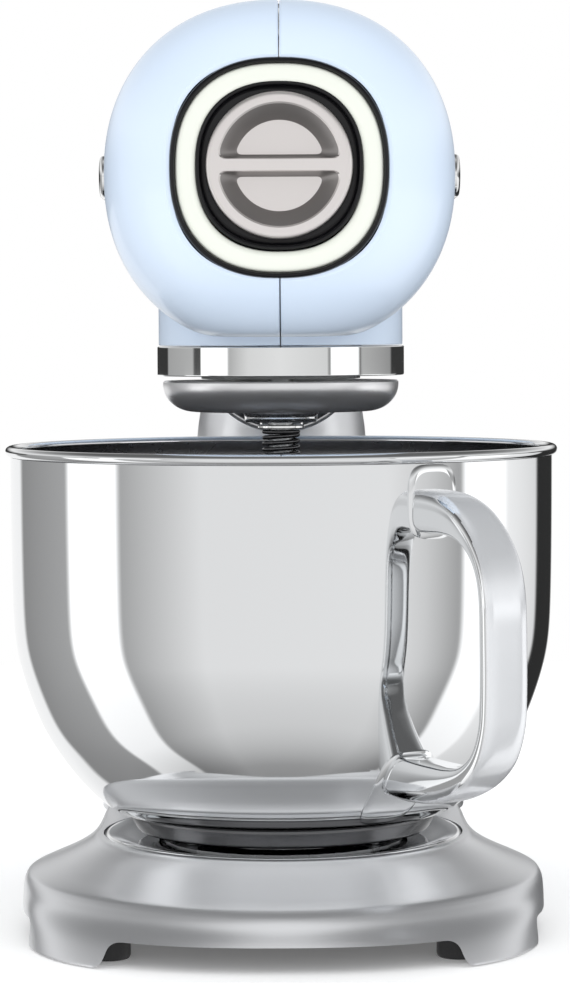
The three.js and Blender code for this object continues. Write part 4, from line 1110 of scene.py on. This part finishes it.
def studio_world():
    """Soft studio: grey walls, white strips and dark flags by direction for reflections, and plain white to
    the camera. Wall stops are degrees from the front, + to the right. The other stops run from straight
    down, 0, to straight up, 1."""
    world = bpy.data.worlds.new("studio")
    bpy.context.scene.world = world
    world.use_nodes = True
    tree = world.node_tree
    tree.nodes.clear()

    def calculate(operation, *values):
        """Output of a math node."""
        return add_node(tree, "Math", dict(enumerate(values)), operation=operation).outputs[0]

    def walls_of(stops):
        """Greys round the horizon."""
        return ramp_socket(tree, turn, [(0.5 + degrees / 360, value) for degrees, value in stops])

    def mixed(factor, a, b):
        """Colour a, or b where the factor is 1."""
        return add_node(tree, "Mix", {"Factor": factor, 6: a, 7: b}, data_type="RGBA").outputs[2]

    def light_of(color, strength=1.0):
        """Background shader of a colour."""
        return add_node(tree, "Background", {"Color": color, "Strength": strength}).outputs[0]

    place = add_node(tree, "TexCoord", {}).outputs["Generated"]
    split = add_node(tree, "SeparateXYZ", {0: place}).outputs
    around = calculate("ARCTAN2", split["X"], calculate("MULTIPLY", split["Y"], -1.0))
    turn = calculate("MULTIPLY_ADD", around, 1 / (2 * math.pi), 0.5)
    lift = calculate("MULTIPLY_ADD", calculate("ARCSINE", split["Z"]), 1 / math.pi, 0.5)
    bowl_walls = walls_of([
        (-180, 1.0), (-145, 1.0), (-141, 0.29), (-102, 0.42), (-100, 1.3), (-73, 1.3), (-71, 0.43),
        (-50, 0.66), (-33, 0.86), (45, 0.88), (62, 0.7), (80, 0.4), (83, 1.3), (107, 1.3), (110, 1.0),
        (135, 0.8), (138, 0.03), (165, 0.03), (172, 0.8)])
    band_walls = walls_of([
        (-180, 0.04), (-131, 0.04), (-129, 0.38), (-90, 0.46), (-87, 0.08), (-80, 0.08), (-79, 1.3),
        (-51, 1.3), (-49, 0.45), (-30, 0.72), (0, 0.8), (44, 0.68), (46, 0.02), (48, 1.3), (77, 1.3),
        (78, 0.03), (81, 0.45), (123, 0.3), (126, 0.04)])
    sky = ramp_socket(tree, lift, [
        (0.5, 0.86), (0.57, 0.9), (0.65, 0.38), (0.73, 0.14), (0.85, 0.14), (0.93, 0.35), (1.0, 0.6)])
    below = ramp_socket(tree, lift, [(0.0, 0.25), (0.12, 0.4), (0.24, 0.8), (0.38, 1.0)])
    low = ramp_socket(tree, lift, [(0.4915, 0), (0.4935, 1)])
    high = ramp_socket(tree, lift, [(0.52, 0), (0.56, 1)])
    dimmed = add_node(tree, "VectorMath", {0: bowl_walls, 1: below}, operation="MULTIPLY").outputs[0]
    room = mixed(high, mixed(low, dimmed, band_walls), sky)
    soft = light_of((0.97, 0.985, 1.0, 1), 1.1)
    rays = add_node(tree, "LightPath", {}).outputs
    first = add_node(tree, "MixShader", {"Fac": rays["Is Glossy Ray"], 1: soft, 2: light_of(room)})
    second = add_node(tree, "MixShader", {
        "Fac": rays["Is Camera Ray"], 1: first.outputs[0], 2: light_of((1, 1, 1, 1))})
    add_node(tree, "OutputWorld", {"Surface": second.outputs[0]})


def floor_material():
    """Matt white floor."""
    material = bpy.data.materials.new("pale_floor")
    material.use_nodes = True
    shader = material.node_tree.nodes["Principled BSDF"]
    shader.inputs["Base Color"].default_value = (0.97, 0.965, 0.96, 1)
    shader.inputs["Emission Color"].default_value = (1, 1, 1, 1)
    shader.inputs["Emission Strength"].default_value = 0.1
    shader.inputs["Roughness"].default_value = 0.9
    shader.inputs["Specular IOR Level"].default_value = 0.1
    return material


class MIXER_OT_stage(bpy.types.Operator):
    """Camera, pale floor and soft studio light"""

    bl_idname = "mixer.stage"
    bl_label = "Stage"

    def execute(self, context):
        scene = context.scene
        scene.view_settings.view_transform = "Standard"
        lens = bpy.data.cameras.new("camera")
        lens.sensor_width = SENSOR
        lens.lens = LENS
        lens.clip_end = 20
        camera = bpy.data.objects.new("camera", lens)
        camera.location = (1.5 * MM, AXIS_Y - CAMERA_BACK, CAMERA_TALL)
        pitch = Matrix.Rotation(math.pi / 2 - CAMERA_PITCH, 3, "X")
        camera.rotation_euler = (pitch @ Matrix.Rotation(CAMERA_ROLL, 3, "Z")).to_euler()
        scene.collection.objects.link(camera)
        scene.camera = camera

        turn = np.linspace(0, 2 * np.pi, 96, endpoint=False)
        radius = np.array([0, 1.0])[:, None]
        disc = np.stack([radius * np.cos(turn), radius * np.sin(turn), 0 * radius * turn], -1)
        floor = grid_piece("floor", disc, None, None, wrap_columns=True)
        if floor.data.polygons[0].normal.z < 0:
            floor.data.flip_normals()
        floor.visible_glossy = False
        floor.data.materials.append(floor_material())

        studio_world()
        # name, place, size and power of each lamp
        for name, place, size, energy in (
                ("key_left", (-1.3, -1.1, 1.6), 1.2, 3), ("key_right", (1.4, -0.9, 1.5), 1.2, 3),
                ("top", (0, 0.1, 2.0), 1.6, 3), ("fill", (0, -1.4, 0.12), 0.8, 4)):
            light = bpy.data.lights.new(name, "AREA")
            light.size = size
            light.energy = energy
            lamp = bpy.data.objects.new(name, light)
            lamp.location = place
            lamp.rotation_euler = (Vector((0, 0, 0.2)) - Vector(place)).to_track_quat("-Z", "Y").to_euler()
            lamp.visible_glossy = False
            lamp.visible_camera = False
            scene.collection.objects.link(lamp)
        return {"FINISHED"}


# ---------------------------------------------------------------- add-on

OPERATORS = [MIXER_OT_stage, MIXER_OT_base, MIXER_OT_column, MIXER_OT_knuckle, MIXER_OT_head, MIXER_OT_nose,
             MIXER_OT_trims, MIXER_OT_drive, MIXER_OT_bowl, MIXER_OT_handle, MIXER_OT_mechanism]


class MIXER_PT_panel(bpy.types.Panel):
    """Lists the mixer's pieces and sizes"""

    bl_label = "Stand mixer"
    bl_idname = "MIXER_PT_panel"
    bl_space_type = "VIEW_3D"
    bl_region_type = "UI"
    bl_category = "Mixer"

    def draw(self, context):
        for operator in OPERATORS:
            self.layout.operator(operator.bl_idname)
        for group in (context.scene.mixer_sizes, context.scene.mixer_colours):
            for name in type(group).__annotations__:
                self.layout.prop(group, name)


CLASSES = [MixerSizes, MixerColours, *OPERATORS, MIXER_PT_panel]


def register():
    for item in CLASSES:
        bpy.utils.register_class(item)
    bpy.types.Scene.mixer_sizes = bpy.props.PointerProperty(type=MixerSizes)
    bpy.types.Scene.mixer_colours = bpy.props.PointerProperty(type=MixerColours)


def unregister():
    del bpy.types.Scene.mixer_colours
    del bpy.types.Scene.mixer_sizes
    for item in reversed(CLASSES):
        bpy.utils.unregister_class(item)


def main():
    """Registers the add-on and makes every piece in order."""
    register()
    make_finishes()
    for operator in OPERATORS:
        family, name = operator.bl_idname.split(".")
        getattr(getattr(bpy.ops, family), name)()


if __name__ == "__main__":
    main()
